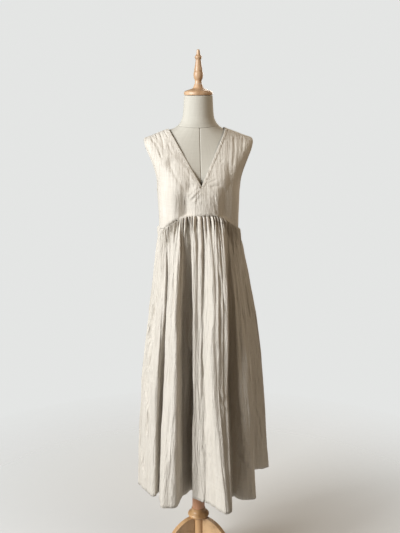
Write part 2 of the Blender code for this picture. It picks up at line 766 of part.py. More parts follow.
def form_reach(x, y, z):
    """Half size of the form in a direction from the post axis at a height."""
    if z < TORSO_BASE_Z - 0.06:
        return 0.0
    heights = [row[2] for row in TORSO_RINGS][::-1]
    levels = list(range(len(TORSO_RINGS)))[::-1]
    level = float(np.interp(z, heights, levels))
    half, _, front, _, back, _ = ring_row(TORSO_RINGS, level)
    depth = front if y < 0 else back
    span = math.hypot(x, y)
    across = (abs(x) / half) ** FORM_FULLNESS
    along = (abs(y) / depth) ** FORM_FULLNESS
    reach = span / (across + along) ** (1.0 / FORM_FULLNESS)
    fade = min(max((z - TORSO_BASE_Z + 0.06) / 0.06, 0.0), 1.0)
    return reach * fade


def waist_point(degrees):
    """The skirt's top edge under the bodice's outer face."""
    wrapped = (degrees + 180.0) % 360.0 - 180.0
    point = bodice_point(WAIST_RING, wrapped)
    flat = point[:2].copy()
    step = bodice_point(WAIST_RING, wrapped + 0.5)[:2] - bodice_point(WAIST_RING, wrapped - 0.5)[:2]
    normal = np.array([-step[1], step[0]])
    normal = normal / np.linalg.norm(normal)
    if normal @ flat < 0:
        normal = -normal
    return flat + normal * CLOTH, seam_height(wrapped)


def seam_height(degrees):
    """Height of the waist seam, straight between the bodice's corners."""
    cell = 90.0 / HALF_COLUMNS
    first = math.floor(degrees / cell + 1e-9) * cell
    share = (degrees - first) / cell
    low = bodice_point(WAIST_RING, first)[2]
    high = bodice_point(WAIST_RING, first + cell)[2]
    return low + (high - low) * share


def skirt_base(degrees, drop):
    """A point of the skirt without its gathers, drop running from 0 at the waist to 1."""
    waist, z_waist = waist_point(degrees)
    hem, rise = hem_point(degrees)
    angle = math.radians(degrees)
    depth = HEM_FRONT if math.cos(angle) > 0 else HEM_BACK
    mean = np.array([HEM_HALF_WIDTH * math.sin(angle), -depth * math.cos(angle)])
    flare = 1.0 - (1.0 - drop) ** FLARE
    fold = 1.0 - (1.0 - drop) ** FOLD_GROWTH
    plan = waist + (mean - waist) * flare + (hem - mean) * fold
    z = z_waist + (HEM_Z + rise - z_waist) * drop
    reach = form_reach(plan[0], plan[1], z) + FORM_GAP
    span = math.hypot(*plan)
    if drop > 0.0 and span < reach:
        plan = plan * reach / span
    return np.array([plan[0], plan[1], z])


def pleat_relief(degrees, drop):
    """Inward depth of the pleats that die out down the skirt."""
    relief = 0.0
    for _, waist, hem, depth, width, length in PLEATS:
        centre = waist + (hem - waist) * drop
        away = (degrees - centre + 180.0) % 360.0 - 180.0
        fade = max(1.0 - drop / length, 0.0)
        grow = min(drop / 0.03, 1.0)
        relief += depth * math.exp(-0.5 * (away / width) ** 2) * fade * grow
    return relief


def skirt_normal(degrees, drop):
    """Level outward direction of the skirt without its gathers."""
    step = 0.7
    along = skirt_base(degrees + step, drop) - skirt_base(degrees - step, drop)
    normal = np.array([along[1], -along[0], 0.0])
    return normal / np.linalg.norm(normal)


def build_skirt(name, start, cloth):
    """One gathered skirt panel from side seam to side seam."""
    outer = []
    inner = []
    for drop in SKIRT_ROWS:
        for column in range(SKIRT_COLUMNS + 1):
            degrees = start + 180.0 * column / SKIRT_COLUMNS
            normal = skirt_normal(degrees, drop)
            point = skirt_base(degrees, drop)
            gather = GATHER_DEPTH * math.exp(-(drop / GATHER_FADE) ** 2)
            side = 1.0 if column % 2 else -1.0
            if column in (0, SKIRT_COLUMNS):
                side = 0.0
            point = point + normal * (side * gather - pleat_relief(degrees, drop))
            if drop == 0.0:
                point[2] -= SEAM_GAP / 2.0
            if column in (0, SKIRT_COLUMNS):
                tangent = np.array([-normal[1], normal[0], 0.0])
                point = point + tangent * (SEAM_GAP / 2.0) * (1.0 if column == 0 else -1.0)
            outer.append(point)
            inner.append(point - normal * SKIRT_CLOTH)
    rows = len(SKIRT_ROWS) - 1
    width = SKIRT_COLUMNS + 1
    count = len(outer)
    faces = grid_faces(rows, SKIRT_COLUMNS)
    faces += [tuple(count + k for k in reversed(face)) for face in faces]

    def edge(first, second):
        faces.append((first, second, count + second))
        faces.append((first, count + second, count + first))

    for column in range(SKIRT_COLUMNS):
        edge(column + 1, column)
        edge(rows * width + column, rows * width + column + 1)
    for row in range(rows):
        edge(row * width, (row + 1) * width)
        edge((row + 1) * width + SKIRT_COLUMNS, row * width + SKIRT_COLUMNS)
    add_piece(name, outer + inner, faces, cloth)


def build_leg(name, degrees, wood):
    """One leg sawn from a plank, its inner edge hollowed to sit against the hub."""
    upper = [(HUB_RADIUS, LEG_UPPER[0][1])] + list(LEG_UPPER)
    lower = list(LEG_LOWER) + [(HUB_RADIUS, LEG_LOWER[-1][1])]
    outline = upper + lower
    angle = math.radians(degrees)
    ahead = np.array([math.sin(angle), -math.cos(angle), 0.0])
    across = np.array([math.cos(angle), math.sin(angle), 0.0])
    stations = (-0.5, 0.0, 0.5)
    seat = HUB_RADIUS + LEG_SEAT_GAP
    points = []
    for share in stations:
        offset = share * LEG_THICKNESS
        for reach, height in outline:
            if reach == HUB_RADIUS:
                reach = math.sqrt(seat * seat - offset * offset)
            points.append(ahead * reach + across * offset + np.array([0.0, 0.0, height]))
    count = len(outline)
    faces = []
    for layer in range(len(stations) - 1):
        for k in range(count):
            after = (k + 1) % count
            a = layer * count + k
            b = layer * count + after
            faces.append((a, b, b + count))
            faces.append((a, b + count, a + count))
    last = (len(stations) - 1) * count
    split = len(upper)
    fronts = list(range(split))
    backs = list(range(count - 1, split - 1, -1))
    i = 0
    j = 0
    while i < len(fronts) - 1 or j < len(backs) - 1:
        advance_front = j == len(backs) - 1 or (
            i < len(fronts) - 1 and outline[fronts[i + 1]][0] <= outline[backs[j + 1]][0])
        if advance_front:
            triangle = (fronts[i], backs[j], fronts[i + 1])
            i += 1
        else:
            triangle = (fronts[i], backs[j], backs[j + 1])
            j += 1
        faces.append(triangle)
        faces.append(tuple(last + k for k in reversed(triangle)))
    return add_piece(name, points, faces, wood, sharp_angle=50.0)


def centre_on_floor(objects):
    """Put the origin on the floor under the middle of the whole."""
    corners = np.array([v.co[:] for obj in objects for v in obj.data.vertices])
    low = corners.min(axis=0)
    high = corners.max(axis=0)
    shift = Vector((-(low[0] + high[0]) / 2.0, -(low[1] + high[1]) / 2.0, -low[2]))
    for obj in objects:
        for vertex in obj.data.vertices:
            vertex.co += shift
        obj.data.update()


def build():
    """Make every piece."""
    clear_scene()
    linen = finish("natural linen", (0.62, 0.56, 0.46), 0.85)
    cover = finish("form cover", (0.76, 0.72, 0.61), 0.8)
    beech = finish("beech", (0.62, 0.42, 0.25), 0.45)
    varnished = finish("varnished wood", (0.60, 0.35, 0.15), 0.4)
    reddish = finish("reddish post", (0.42, 0.20, 0.11), 0.4)

    tree = build_form(cover)
    turned_piece("neck_cap", CAP_PROFILE, TURNED_SIDES, beech, NECK_TOP_Z)
    turned_piece("finial", FINIAL_PROFILE, FINIAL_SIDES, beech, NECK_TOP_Z)

    panels = {part: build_bodice(part, tree, linen) for part in ("front", "back")}
    build_binding("neck_binding", neck_stations(), panels, linen)
    build_binding("armhole_binding_left", armhole_stations(-1), panels, linen)
    build_binding("armhole_binding_right", armhole_stations(1), panels, linen)
    build_skirt("skirt_front", -90.0, linen)
    build_skirt("skirt_back", 90.0, linen)

    post = ((POST_RADIUS, COLLAR_TOP_Z + LAY_GAP), (POST_RADIUS, TORSO_BASE_Z - LAY_GAP))
    turned_piece("post", post, TURNED_SIDES, reddish)
    turned_piece("collar", COLLAR_PROFILE, TURNED_SIDES, varnished)
    hub = ((HUB_RADIUS * 0.6, HUB_BASE_Z - 0.008), (HUB_RADIUS, HUB_BASE_Z),
           (HUB_RADIUS, COLLAR_BASE_Z - LAY_GAP))
    turned_piece("hub", hub, TURNED_SIDES, varnished)
    for name, degrees in LEG_ANGLES.items():
        build_leg(name, degrees, varnished)
    centre_on_floor(list(bpy.context.scene.objects))


build()
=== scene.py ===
import math

import bmesh
import bpy
import numpy as np
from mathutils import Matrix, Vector, noise
from mathutils.bvhtree import BVHTree


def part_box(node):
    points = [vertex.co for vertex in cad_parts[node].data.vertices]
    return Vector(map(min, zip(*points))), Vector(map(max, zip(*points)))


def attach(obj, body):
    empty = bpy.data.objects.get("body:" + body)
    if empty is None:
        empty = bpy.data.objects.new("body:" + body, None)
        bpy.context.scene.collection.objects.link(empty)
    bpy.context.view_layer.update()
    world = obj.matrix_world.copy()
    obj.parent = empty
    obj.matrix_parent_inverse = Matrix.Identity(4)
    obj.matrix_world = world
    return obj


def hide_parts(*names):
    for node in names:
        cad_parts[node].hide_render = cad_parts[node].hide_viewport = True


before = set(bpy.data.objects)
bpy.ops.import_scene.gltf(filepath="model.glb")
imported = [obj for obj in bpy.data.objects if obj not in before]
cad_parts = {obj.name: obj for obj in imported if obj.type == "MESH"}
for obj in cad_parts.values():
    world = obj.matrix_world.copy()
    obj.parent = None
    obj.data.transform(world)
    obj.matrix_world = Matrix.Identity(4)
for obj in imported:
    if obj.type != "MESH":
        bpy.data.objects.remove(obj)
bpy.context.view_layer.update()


# The stand. A turned post goes down through a turned collar into a hub, and three legs
# sawn from planks stand round the hub. Varnished wood, its edges eased by sanding. The
# post is redder than the collar and the legs.

post_low, post_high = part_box("post")
AXIS = np.array([(post_low.x + post_high.x) / 2.0, (post_low.y + post_high.y) / 2.0, 0.0])


def put_in_scene(name, data):
    """An object of its own for a mesh, a lamp or a camera."""
    placed = bpy.data.objects.new(name, data)
    bpy.context.scene.collection.objects.link(placed)
    return placed


def mesh_piece(name, points, faces, material, uv=None):
    """One smooth piece from its corners and faces, set out from the post axis."""
    mesh = bpy.data.meshes.new(name)
    mesh.from_pydata((np.asarray(points, float) + AXIS).tolist(), [], faces)
    shell = bmesh.new()
    shell.from_mesh(mesh)
    bmesh.ops.recalc_face_normals(shell, faces=shell.faces)
    shell.to_mesh(mesh)
    shell.free()
    if uv is not None:
        layer = mesh.uv_layers.new(name="cut")
        corners = np.zeros(len(mesh.loops), int)
        mesh.loops.foreach_get("vertex_index", corners)
        layer.data.foreach_set("uv", np.asarray(uv, np.float32)[corners].ravel())
    mesh.shade_smooth()
    mesh.materials.append(material)
    return put_in_scene(name, mesh)


def hand_over(piece, slot, *nodes):
    """Let a piece stand for its CAD nodes."""
    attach(piece, "root")
    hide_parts(*nodes)


def node_adder(tree):
    """A way to add a node to a tree with its settings, its values and what feeds it."""
    def add(kind, links=None, **settings):
        node = tree.nodes.new(kind)
        for key, value in settings.items():
            if hasattr(node, key):
                setattr(node, key, value)
            else:
                node.inputs[key.replace("_", " ")].default_value = value
        for key, source in (links or {}).items():
            tree.links.new(source, node.inputs[key])
        return node

    return add


def new_finish(name, roughness):
    """A material, its shader, a way to add nodes and a way to feed the shader."""
    material = bpy.data.materials.new(name)
    material.use_nodes = True
    shader = material.node_tree.nodes["Principled BSDF"]
    shader.inputs["Roughness"].default_value = roughness

    def join(source, key):
        material.node_tree.links.new(source, shader.inputs[key])

    return material, shader, node_adder(material.node_tree), join


def colour_ramp(add, source, stops):
    """A ramp of colours through (place, colour) stops."""
    ramp = add("ShaderNodeValToRGB", {"Fac": source})
    elements = ramp.color_ramp.elements
    while len(elements) < len(stops):
        elements.new(0.5)
    for element, (place, colour) in zip(elements, stops):
        element.position = place
        element.color = (*colour, 1.0)
    return ramp.outputs["Color"]


def wood_finish(name, light, dark, turn, stretch, roughness, coat):
    """Satin wood whose grain runs along one direction of the piece."""
    material, shader, add, join = new_finish(name, roughness)
    place = add("ShaderNodeTexCoord").outputs["Object"]
    fitted = add("ShaderNodeMapping", {"Vector": place}, Rotation=turn, Scale=stretch).outputs[0]

    def patches(**sizes):
        return add("ShaderNodeTexNoise", {"Vector": fitted}, **sizes).outputs["Fac"]

    def darkened(colour, pattern, stops, share):
        mixed = add("ShaderNodeMix", {6: colour, 7: colour_ramp(add, pattern, stops)},
                    data_type="RGBA", blend_type="MULTIPLY")
        mixed.inputs[0].default_value = share
        return mixed.outputs[2]

    broad = patches(Scale=0.55, Detail=5.0, Roughness=0.55, Distortion=0.9)
    grain = patches(Scale=3.4, Detail=8.0, Roughness=0.62, Distortion=0.25)
    pores = patches(Scale=17.0, Detail=3.0, Roughness=0.5)
    middle = tuple(0.5 * (a + b) for a, b in zip(light, dark))
    tone = colour_ramp(add, broad, ((0.34, dark), (0.5, middle), (0.62, light)))
    tone = darkened(tone, grain, ((0.36, (0.62, 0.55, 0.48)), (0.52, (0.95, 0.94, 0.93)),
                                  (0.7, (1.0, 1.0, 1.0))), 0.75)
    tone = darkened(tone, pores, ((0.30, (0.72, 0.66, 0.60)), (0.42, (1.0, 1.0, 1.0))), 0.5)
    join(tone, "Base Color")
    gloss = add("ShaderNodeMapRange", {"Value": grain}, To_Min=roughness + 0.12, To_Max=roughness - 0.08)
    join(gloss.outputs[0], "Roughness")
    relief = add("ShaderNodeBump", {"Height": grain}, Strength=0.18, Distance=0.0006)
    join(relief.outputs[0], "Normal")
    shader.inputs["Coat Weight"].default_value = coat
    shader.inputs["Coat Roughness"].default_value = 0.28
    return material


def smooth_rows(table, place):
    """Rows of a table read between its own, on a smooth curve through them."""
    table = np.asarray(table, float)
    last = len(table) - 1
    place = np.clip(place, 0.0, last)
    row = np.clip(np.floor(place).astype(int), 0, last - 1)
    t = (place - row)[..., None]
    a = table[np.maximum(row - 1, 0)]
    b = table[row]
    c = table[row + 1]
    d = table[np.minimum(row + 2, last)]
    return b + 0.5 * t * (c - a + t * (2.0 * a - 5.0 * b + 4.0 * c - d + t * (3.0 * (b - c) + d - a)))


def smooth_line(rows, fineness=5):
    """A smooth line through all the rows of a table."""
    return smooth_rows(rows, np.linspace(0.0, len(rows) - 1.0, (len(rows) - 1) * fineness + 1))


def quads(grid):
    """Faces between the corners whose numbers a grid gives, row by row."""
    faces = np.stack([grid[:-1, :-1], grid[1:, :-1], grid[1:, 1:], grid[:-1, 1:]], axis=-1)
    return faces.reshape(-1, 4).tolist()


def ring_faces(rows, columns):
    """Quads of a closed tube of rings, with a fan at each end."""
    grid = np.arange(rows * columns).reshape(rows, columns)
    faces = quads(np.hstack([grid, grid[:, :1]]))
    top = rows * columns
    last = top - columns
    for k in range(columns):
        after = (k + 1) % columns
        faces.append((top, k, after))
        faces.append((top + 1, last + after, last + k))
    return faces


def turned_piece(name, profile, material, sides=72, fineness=5, lift=0.0):
    """A piece turned on the lathe round the post axis, from a profile given from below."""
    rows = smooth_line(profile, fineness)
    angles = 2.0 * np.pi * np.arange(sides) / sides
    rings = np.array([np.stack([radius * np.sin(angles), -radius * np.cos(angles),
                                np.full(sides, height + lift)], axis=1) for radius, height in rows])
    points = np.concatenate([rings.reshape(-1, 3),
                             [[0.0, 0.0, rows[0][1] + lift], [0.0, 0.0, rows[-1][1] + lift]]])
    return mesh_piece(name, points, ring_faces(len(rows), sides), material)


TURNED_GRAIN = (9.0, 9.0, 1.4)
varnish = wood_finish("varnished wood", (0.70, 0.44, 0.22), (0.50, 0.27, 0.11),
                      (0.0, 0.0, 0.0), TURNED_GRAIN, 0.36, 0.25)
reddish = wood_finish("reddish post wood", (0.86, 0.46, 0.27), (0.60, 0.28, 0.14),
                      (0.0, 0.0, 0.0), TURNED_GRAIN, 0.36, 0.25)

COLLAR_BASE = 0.2213
COLLAR_TOP = 0.2535
COLLAR_PROFILE = (
    # radius, height
    (0.0240, COLLAR_BASE + 0.0002), (0.0340, COLLAR_BASE + 0.0002), (0.0366, 0.2232),
    (0.0379, 0.2256), (0.0382, 0.2278), (0.0376, 0.2305), (0.0360, 0.2328),
    (0.0338, 0.2345), (0.0322, 0.2362), (0.0296, 0.2384), (0.0274, 0.2412),
    (0.0260, 0.2448), (0.0252, 0.2486), (0.0248, 0.2515), (0.0243, 0.2530),
    (0.0232, COLLAR_TOP),
)
hand_over(turned_piece("turned_collar", COLLAR_PROFILE, varnish), "stand_wood", "collar")

POST_PROFILE = (
    (0.0212, 0.2539), (0.0219, 0.2545), (0.0222, 0.2560), (0.0222, 0.4000),
    (0.0222, 0.6500), (0.0222, 0.8925), (0.0219, 0.8940), (0.0212, 0.8946),
)
hand_over(turned_piece("turned_post", POST_PROFILE, reddish), "post_wood", "post")

HUB_PROFILE = (
    (0.0130, 0.0902), (0.0165, 0.0920), (0.0196, 0.0950), (0.0212, 0.0985),
    (0.0219, 0.1030), (0.0220, 0.1200), (0.0220, 0.1700), (0.0220, 0.2190), (0.0218, 0.2208),
)
hand_over(turned_piece("turned_hub", HUB_PROFILE, varnish), "stand_wood", "hub")

# Outline of a leg along its upper edge to the toe and back along its lower edge.
LEG_OUTLINE = (
    # reach, height
    (0.0300, 0.2200), (0.0470, 0.2172), (0.0680, 0.2085), (0.0880, 0.1950),
    (0.1060, 0.1765), (0.1230, 0.1520), (0.1400, 0.1220), (0.1570, 0.0930),
    (0.1770, 0.0670), (0.2010, 0.0480), (0.2250, 0.0370), (0.2440, 0.0290),
    (0.2540, 0.0170), (0.2540, 0.0040), (0.2500, 0.0000),
    (0.2120, 0.0000), (0.1930, 0.0080), (0.1720, 0.0230), (0.1520, 0.0440),
    (0.1340, 0.0700), (0.1170, 0.0950), (0.0980, 0.1130), (0.0750, 0.1220),
    (0.0500, 0.1200), (0.0300, 0.1150),
)
LEG_TOE = 14              # where the sole starts, the last smooth point of the upper edge
LEG_THICKNESS = 0.0190
LEG_SEAT = 0.0229
LEG_EASE = 0.0026         # rounding of the sanded edges
LEG_EASED_FROM = 50.0      # sharper edges than this are eased
LEG_ANGLES = {"leg_left": -65.0, "leg_right": 55.0, "leg_back": 175.0}


line = np.concatenate([[(LEG_SEAT, LEG_OUTLINE[0][1])], smooth_line(LEG_OUTLINE[:LEG_TOE + 1]),
                       smooth_line(LEG_OUTLINE[LEG_TOE + 1:]), [(LEG_SEAT, LEG_OUTLINE[-1][1])]])
line[:, 1] = np.maximum(line[:, 1], 0.0)
count = len(line)
for leg_node, degrees in LEG_ANGLES.items():
    angle = math.radians(degrees)
    ahead = np.array([math.sin(angle), -math.cos(angle), 0.0])
    across = np.array([math.cos(angle), math.sin(angle), 0.0])
    points = []
    for share in (-0.5, -0.25, 0.0, 0.25, 0.5):
        offset = share * LEG_THICKNESS
        for k, (reach, height) in enumerate(line):
            if k in (0, count - 1):
                reach = math.sqrt(LEG_SEAT ** 2 - offset ** 2)
            points.append(ahead * reach + across * offset + np.array([0.0, 0.0, height]))
    faces = [tuple(range(count)), tuple(range(5 * count - 1, 4 * count - 1, -1))]
    for layer in range(4):
        for k in range(count):
            after = (k + 1) % count
            faces.append((layer * count + k, layer * count + after,
                          (layer + 1) * count + after, (layer + 1) * count + k))
    plank = wood_finish("plank of " + leg_node, (0.70, 0.47, 0.26), (0.54, 0.33, 0.16),
                        (0.0, 0.0, -angle), (9.0, 1.2, 9.0), 0.38, 0.22)
    leg = mesh_piece("sawn_" + leg_node, points, faces, plank)
    easing = leg.modifiers.new("eased edges", "BEVEL")
    easing.width = LEG_EASE
    easing.segments = 3
    easing.limit_method = "ANGLE"
    easing.angle_limit = math.radians(LEG_EASED_FROM)
    easing.harden_normals = True
    hand_over(leg, "stand_wood", leg_node)


# The dress form. A stuffed torso without limbs and its neck, both under a tight off-white
# cover sewn at the centre front, centre back and neck base, with a turned beech cap and
# finial screwed on the neck.

NECK_TOP = 1.7120
beech = wood_finish("beech", (0.68, 0.485, 0.32), (0.53, 0.345, 0.205),
                    (0.0, 0.0, 0.0), TURNED_GRAIN, 0.42, 0.15)
CAP_PROFILE = (
    (0.0400, 0.0004), (0.0440, 0.0008), (0.0454, 0.0020), (0.0460, 0.0045), (0.0460, 0.0075),
    (0.0452, 0.0104), (0.0434, 0.0124), (0.0395, 0.0146), (0.0340, 0.0163), (0.0290, 0.0179),
    (0.0240, 0.0196), (0.0200, 0.0213), (0.0176, 0.0229), (0.0163, 0.0246), (0.0154, 0.0268),
    (0.0142, 0.0300), (0.0130, 0.0332), (0.0122, 0.0358),
)
hand_over(turned_piece("turned_cap", CAP_PROFILE, beech, lift=NECK_TOP), "light_wood", "neck_cap")

FINIAL_PROFILE = (
    (0.0118, 0.0363), (0.0111, 0.0395), (0.0106, 0.0430), (0.0108, 0.0460), (0.0118, 0.0488),
    (0.0134, 0.0520), (0.0147, 0.0565), (0.0153, 0.0620), (0.0151, 0.0680), (0.0143, 0.0722),
    (0.0126, 0.0742), (0.0131, 0.0760), (0.0129, 0.0800), (0.0119, 0.0860), (0.0108, 0.0915),
    (0.0097, 0.0980), (0.0089, 0.1040), (0.0084, 0.1100), (0.0094, 0.1130), (0.0111, 0.1160),
    (0.0114, 0.1185), (0.0106, 0.1212), (0.0078, 0.1240), (0.0061, 0.1270), (0.0054, 0.1330),
    (0.0048, 0.1390), (0.0038, 0.1412), (0.0010, 0.1420),
)
hand_over(turned_piece("turned_finial", FINIAL_PROFILE, beech, sides=48, fineness=4, lift=NECK_TOP),
          "light_wood", "finial")

FORM_FULLNESS = 2.15
BUST_X = 0.078
BUST_Z = 1.432
BUST_HEIGHT = 0.024
BUST_SPREAD_X = 0.036
BUST_SPREAD_Z = 0.046
TORSO_BASE = 0.895
TORSO_RINGS = (
    # half width and its height at the side, depth and height in front, depth and height behind
    (0.0660, 1.6170, 0.0530, 1.6110, 0.0590, 1.6220),
    (0.0790, 1.6085, 0.0555, 1.6020, 0.0630, 1.6130),
    (0.1000, 1.6015, 0.0595, 1.5840, 0.0695, 1.5990),
    (0.1250, 1.5920, 0.0655, 1.5610, 0.0785, 1.5820),
    (0.1480, 1.5820, 0.0725, 1.5360, 0.0870, 1.5610),
    (0.1610, 1.5720, 0.0795, 1.5140, 0.0930, 1.5400),
    (0.1610, 1.5500, 0.0860, 1.4940, 0.0975, 1.5180),
    (0.1520, 1.5230, 0.0915, 1.4750, 0.1000, 1.4930),
    (0.1385, 1.4850, 0.0965, 1.4550, 0.1000, 1.4640),
    (0.1270, 1.4450, 0.0990, 1.4350, 0.0970, 1.4380),
    (0.1220, 1.4000, 0.0975, 1.4000, 0.0925, 1.4000),
    (0.1170, 1.3500, 0.0920, 1.3500, 0.0870, 1.3500),
    (0.1090, 1.2850, 0.0860, 1.2850, 0.0800, 1.2850),
    (0.1050, 1.2150, 0.0820, 1.2150, 0.0760, 1.2150),
    (0.1180, 1.1350, 0.0930, 1.1350, 0.0940, 1.1350),
    (0.1390, 1.0500, 0.1030, 1.0500, 0.1120, 1.0500),
    (0.1450, 0.9800, 0.1060, 0.9800, 0.1160, 0.9800),
    (0.1420, 0.9250, 0.1030, 0.9250, 0.1110, 0.9250),
    (0.1340, TORSO_BASE, 0.0960, TORSO_BASE, 0.1030, TORSO_BASE),
)
WAIST_ARCH_FLAT = 9.0
WAIST_ARCH_END = 76.0


def waist_arch(degrees):
    """How far the seam line has risen from the side (0) to the centre (1)."""
    away = np.minimum(np.abs(degrees), 180.0 - np.abs(degrees))
    share = np.clip((WAIST_ARCH_END - away) / (WAIST_ARCH_END - WAIST_ARCH_FLAT), 0.0, 1.0)
    return share * share * (3.0 - 2.0 * share)


def section_point(rings, level, degrees, fullness, arched=0.0):
    """Points of a ringed body at levels and angles round it."""
    level, degrees = np.broadcast_arrays(np.asarray(level, float), np.asarray(degrees, float))
    half, z_side, front, z_front, back, z_back = np.moveaxis(smooth_rows(rings, level), -1, 0)
    angle = np.radians(degrees)
    side = np.sin(angle)
    ahead = np.cos(angle)
    depth = np.where(ahead > 0.0, front, back)
    z_middle = np.where(ahead > 0.0, z_front, z_back)
    power = 2.0 / fullness
    x = half * np.copysign(np.abs(side) ** power, side)
    y = -depth * np.copysign(np.abs(ahead) ** power, ahead)
    wrapped = (degrees + 180.0) % 360.0 - 180.0
    rise = ahead * ahead * (1.0 - arched) + waist_arch(wrapped) * arched
    return np.stack([x, y, z_side + (z_middle - z_side) * rise], axis=-1)


def bust_lift(points, height):
    """Push the front forward over the bust."""
    across = (np.abs(points[..., 0]) - BUST_X) / BUST_SPREAD_X
    along = (points[..., 2] - BUST_Z) / BUST_SPREAD_Z
    lift = height * np.exp(-0.5 * (across * across + along * along))
    points[..., 1] -= np.where(points[..., 1] < 0.0, lift, 0.0)
    return points


def cloth_finish(name, thread, shade, pitch, roughness, weave_depth, crinkle=0.0):
    """Plain woven cloth on its own cut: threads, slubs along both ways, mottled colour, and
    small crinkles that run down the cloth."""
    material, shader, add, join = new_finish(name, roughness)
    cut = add("ShaderNodeUVMap", uv_map="cut").outputs[0]

    def streaks(across, along, detail, distortion=0.0):
        fitted = add("ShaderNodeMapping", {"Vector": cut}, Scale=(across, along, 1.0))
        return add("ShaderNodeTexNoise", {"Vector": fitted.outputs[0]}, Scale=1.0,
                   Detail=detail, Roughness=0.55, Distortion=distortion).outputs["Fac"]

    def maths(operation, *values):
        fed = {k: value for k, value in enumerate(values) if not isinstance(value, float)}
        node = add("ShaderNodeMath", fed, operation=operation)
        for k, value in enumerate(values):
            if k not in fed:
                node.inputs[k].default_value = value
        return node.outputs[0]

    def weighed(*shares):
        parts = [maths("MULTIPLY", pattern, share) for pattern, share in shares]
        total = parts[0]
        for part in parts[1:]:
            total = maths("ADD", total, part)
        return total

    yarn = weighed((streaks(420.0, 16.0, 4.0, 0.3), 0.36), (streaks(14.0, 380.0, 4.0, 0.3), 0.30))
    tone = weighed((yarn, 1.0), (streaks(75.0, 3.0, 3.0, 0.2), 0.22),
                   (streaks(11.0, 9.0, 4.0, 0.6), 0.16), (streaks(900.0, 900.0, 2.0), 0.10))
    middle = tuple(0.5 * (a + b) for a, b in zip(thread, shade))
    join(colour_ramp(add, tone, ((0.40, shade), (0.57, middle), (0.74, thread))), "Base Color")

    parts = add("ShaderNodeSeparateXYZ", {"Vector": cut}).outputs
    across, along = (maths("SINE", maths("MULTIPLY", parts[k], 2.0 * math.pi / pitch)) for k in (0, 1))
    height = weighed((maths("MULTIPLY", across, along), 0.5), (yarn, 1.6))
    relief = add("ShaderNodeBump", {"Height": height}, Strength=0.35, Distance=weave_depth)
    if crinkle:
        crinkles = weighed((streaks(95.0, 11.0, 3.0, 0.5), 1.0), (streaks(170.0, 60.0, 3.0, 0.8), 0.35))
        relief = add("ShaderNodeBump", {"Height": crinkles, "Normal": relief.outputs[0]},
                     Strength=1.0, Distance=crinkle)
    join(relief.outputs[0], "Normal")
    for key, value in (("Sheen Weight", 0.18), ("Sheen Roughness", 0.45),
                       ("Sheen Tint", (0.95, 0.92, 0.86, 1.0)), ("Specular IOR Level", 0.18)):
        shader.inputs[key].default_value = value
    return material


form_cover = cloth_finish("form cover", (0.52, 0.495, 0.435), (0.44, 0.415, 0.36), 0.0009, 0.8, 0.0002)

TORSO_COLUMNS = 144
TORSO_ROWS = 150
SEAM_DIP = 0.0022
SEAM_SPREAD = 0.0010
TORSO_PITCH = 0.0021       # cover cloth to each degree round the torso
NECK_PITCH = 0.0009        # and round the neck

levels = np.linspace(0.0, len(TORSO_RINGS) - 1.0, TORSO_ROWS)
beside_seam = np.array([0.4, 0.8, 1.3])
around = np.unique(np.concatenate([360.0 * np.arange(TORSO_COLUMNS) / TORSO_COLUMNS, beside_seam,
                                   360.0 - beside_seam, 180.0 + beside_seam, 180.0 - beside_seam]))
level_grid, degree_grid = np.meshgrid(levels, around, indexing="ij")
torso = bust_lift(section_point(TORSO_RINGS, level_grid, degree_grid, FORM_FULLNESS), BUST_HEIGHT)
seam_dip = SEAM_DIP * np.exp(-(torso[..., 0] / SEAM_SPREAD) ** 2)
torso[..., 1] += np.where(torso[..., 1] < 0.0, seam_dip, -seam_dip)
ends = np.array([[0.0, 0.0, torso[0, :, 2].mean()], [0.0, 0.0, TORSO_BASE]])
torso_points = np.concatenate([torso.reshape(-1, 3), ends])
torso_uv = np.stack([degree_grid * TORSO_PITCH, torso[..., 2]], axis=-1)
torso_uv = np.concatenate([torso_uv.reshape(-1, 2), np.zeros((2, 2))])
torso_faces = ring_faces(TORSO_ROWS, len(around))
covered_torso = mesh_piece("covered_torso", torso_points, torso_faces, form_cover, torso_uv)
hand_over(covered_torso, "form_cover", "form_torso")
form_tree = BVHTree.FromPolygons([Vector(p) for p in torso_points], torso_faces)

NECK_RINGS = (
    # half width, half depth, height
    (0.0430, 0.0430, NECK_TOP - 0.0002), (0.0454, 0.0454, NECK_TOP - 0.0012),
    (0.0461, 0.0461, 1.7080), (0.0467, 0.0467, 1.6950), (0.0480, 0.0475, 1.6700),
    (0.0508, 0.0490, 1.6440), (0.0568, 0.0516, 1.6290),
)
NECK_ROWS = 34
SEAT_RISE = 0.0004         # the neck's cover laps over the torso's by this
neck_rows = smooth_rows(NECK_RINGS, np.linspace(0.0, len(NECK_RINGS) - 1.0, NECK_ROWS))
angles = np.radians(around)
neck = [np.stack([half * np.sin(angles), -depth * np.cos(angles), np.full(len(around), height)], axis=1)
        for half, depth, height in neck_rows]
seat = torso[0].copy()
seat[:, 1] -= np.where(seat[:, 1] < 0.0, seam_dip[0], -seam_dip[0])
seat[:, 2] += SEAT_RISE
for share in (0.25, 0.5, 0.75, 0.93):
    ring = neck[NECK_ROWS - 1] * (1.0 - share) + seat * share
    ring[:, :2] *= 1.0 - 0.012 * math.sin(math.pi * share)
    neck.append(ring)
seat[:, :2] *= 0.985
neck.append(seat)
neck = np.array(neck)
neck_ends = np.array([[0.0, 0.0, NECK_TOP - 0.0002], [0.0, 0.0, seat[:, 2].mean()]])
neck_uv = np.stack(np.broadcast_arrays(around * NECK_PITCH, neck[..., 2]), axis=-1)
neck_uv = np.concatenate([neck_uv.reshape(-1, 2), np.zeros((2, 2))])
covered_neck = mesh_piece("covered_neck", np.concatenate([neck.reshape(-1, 3), neck_ends]),
                          ring_faces(len(neck), len(around)), form_cover, neck_uv)
hand_over(covered_neck, "form_cover", "form_neck")


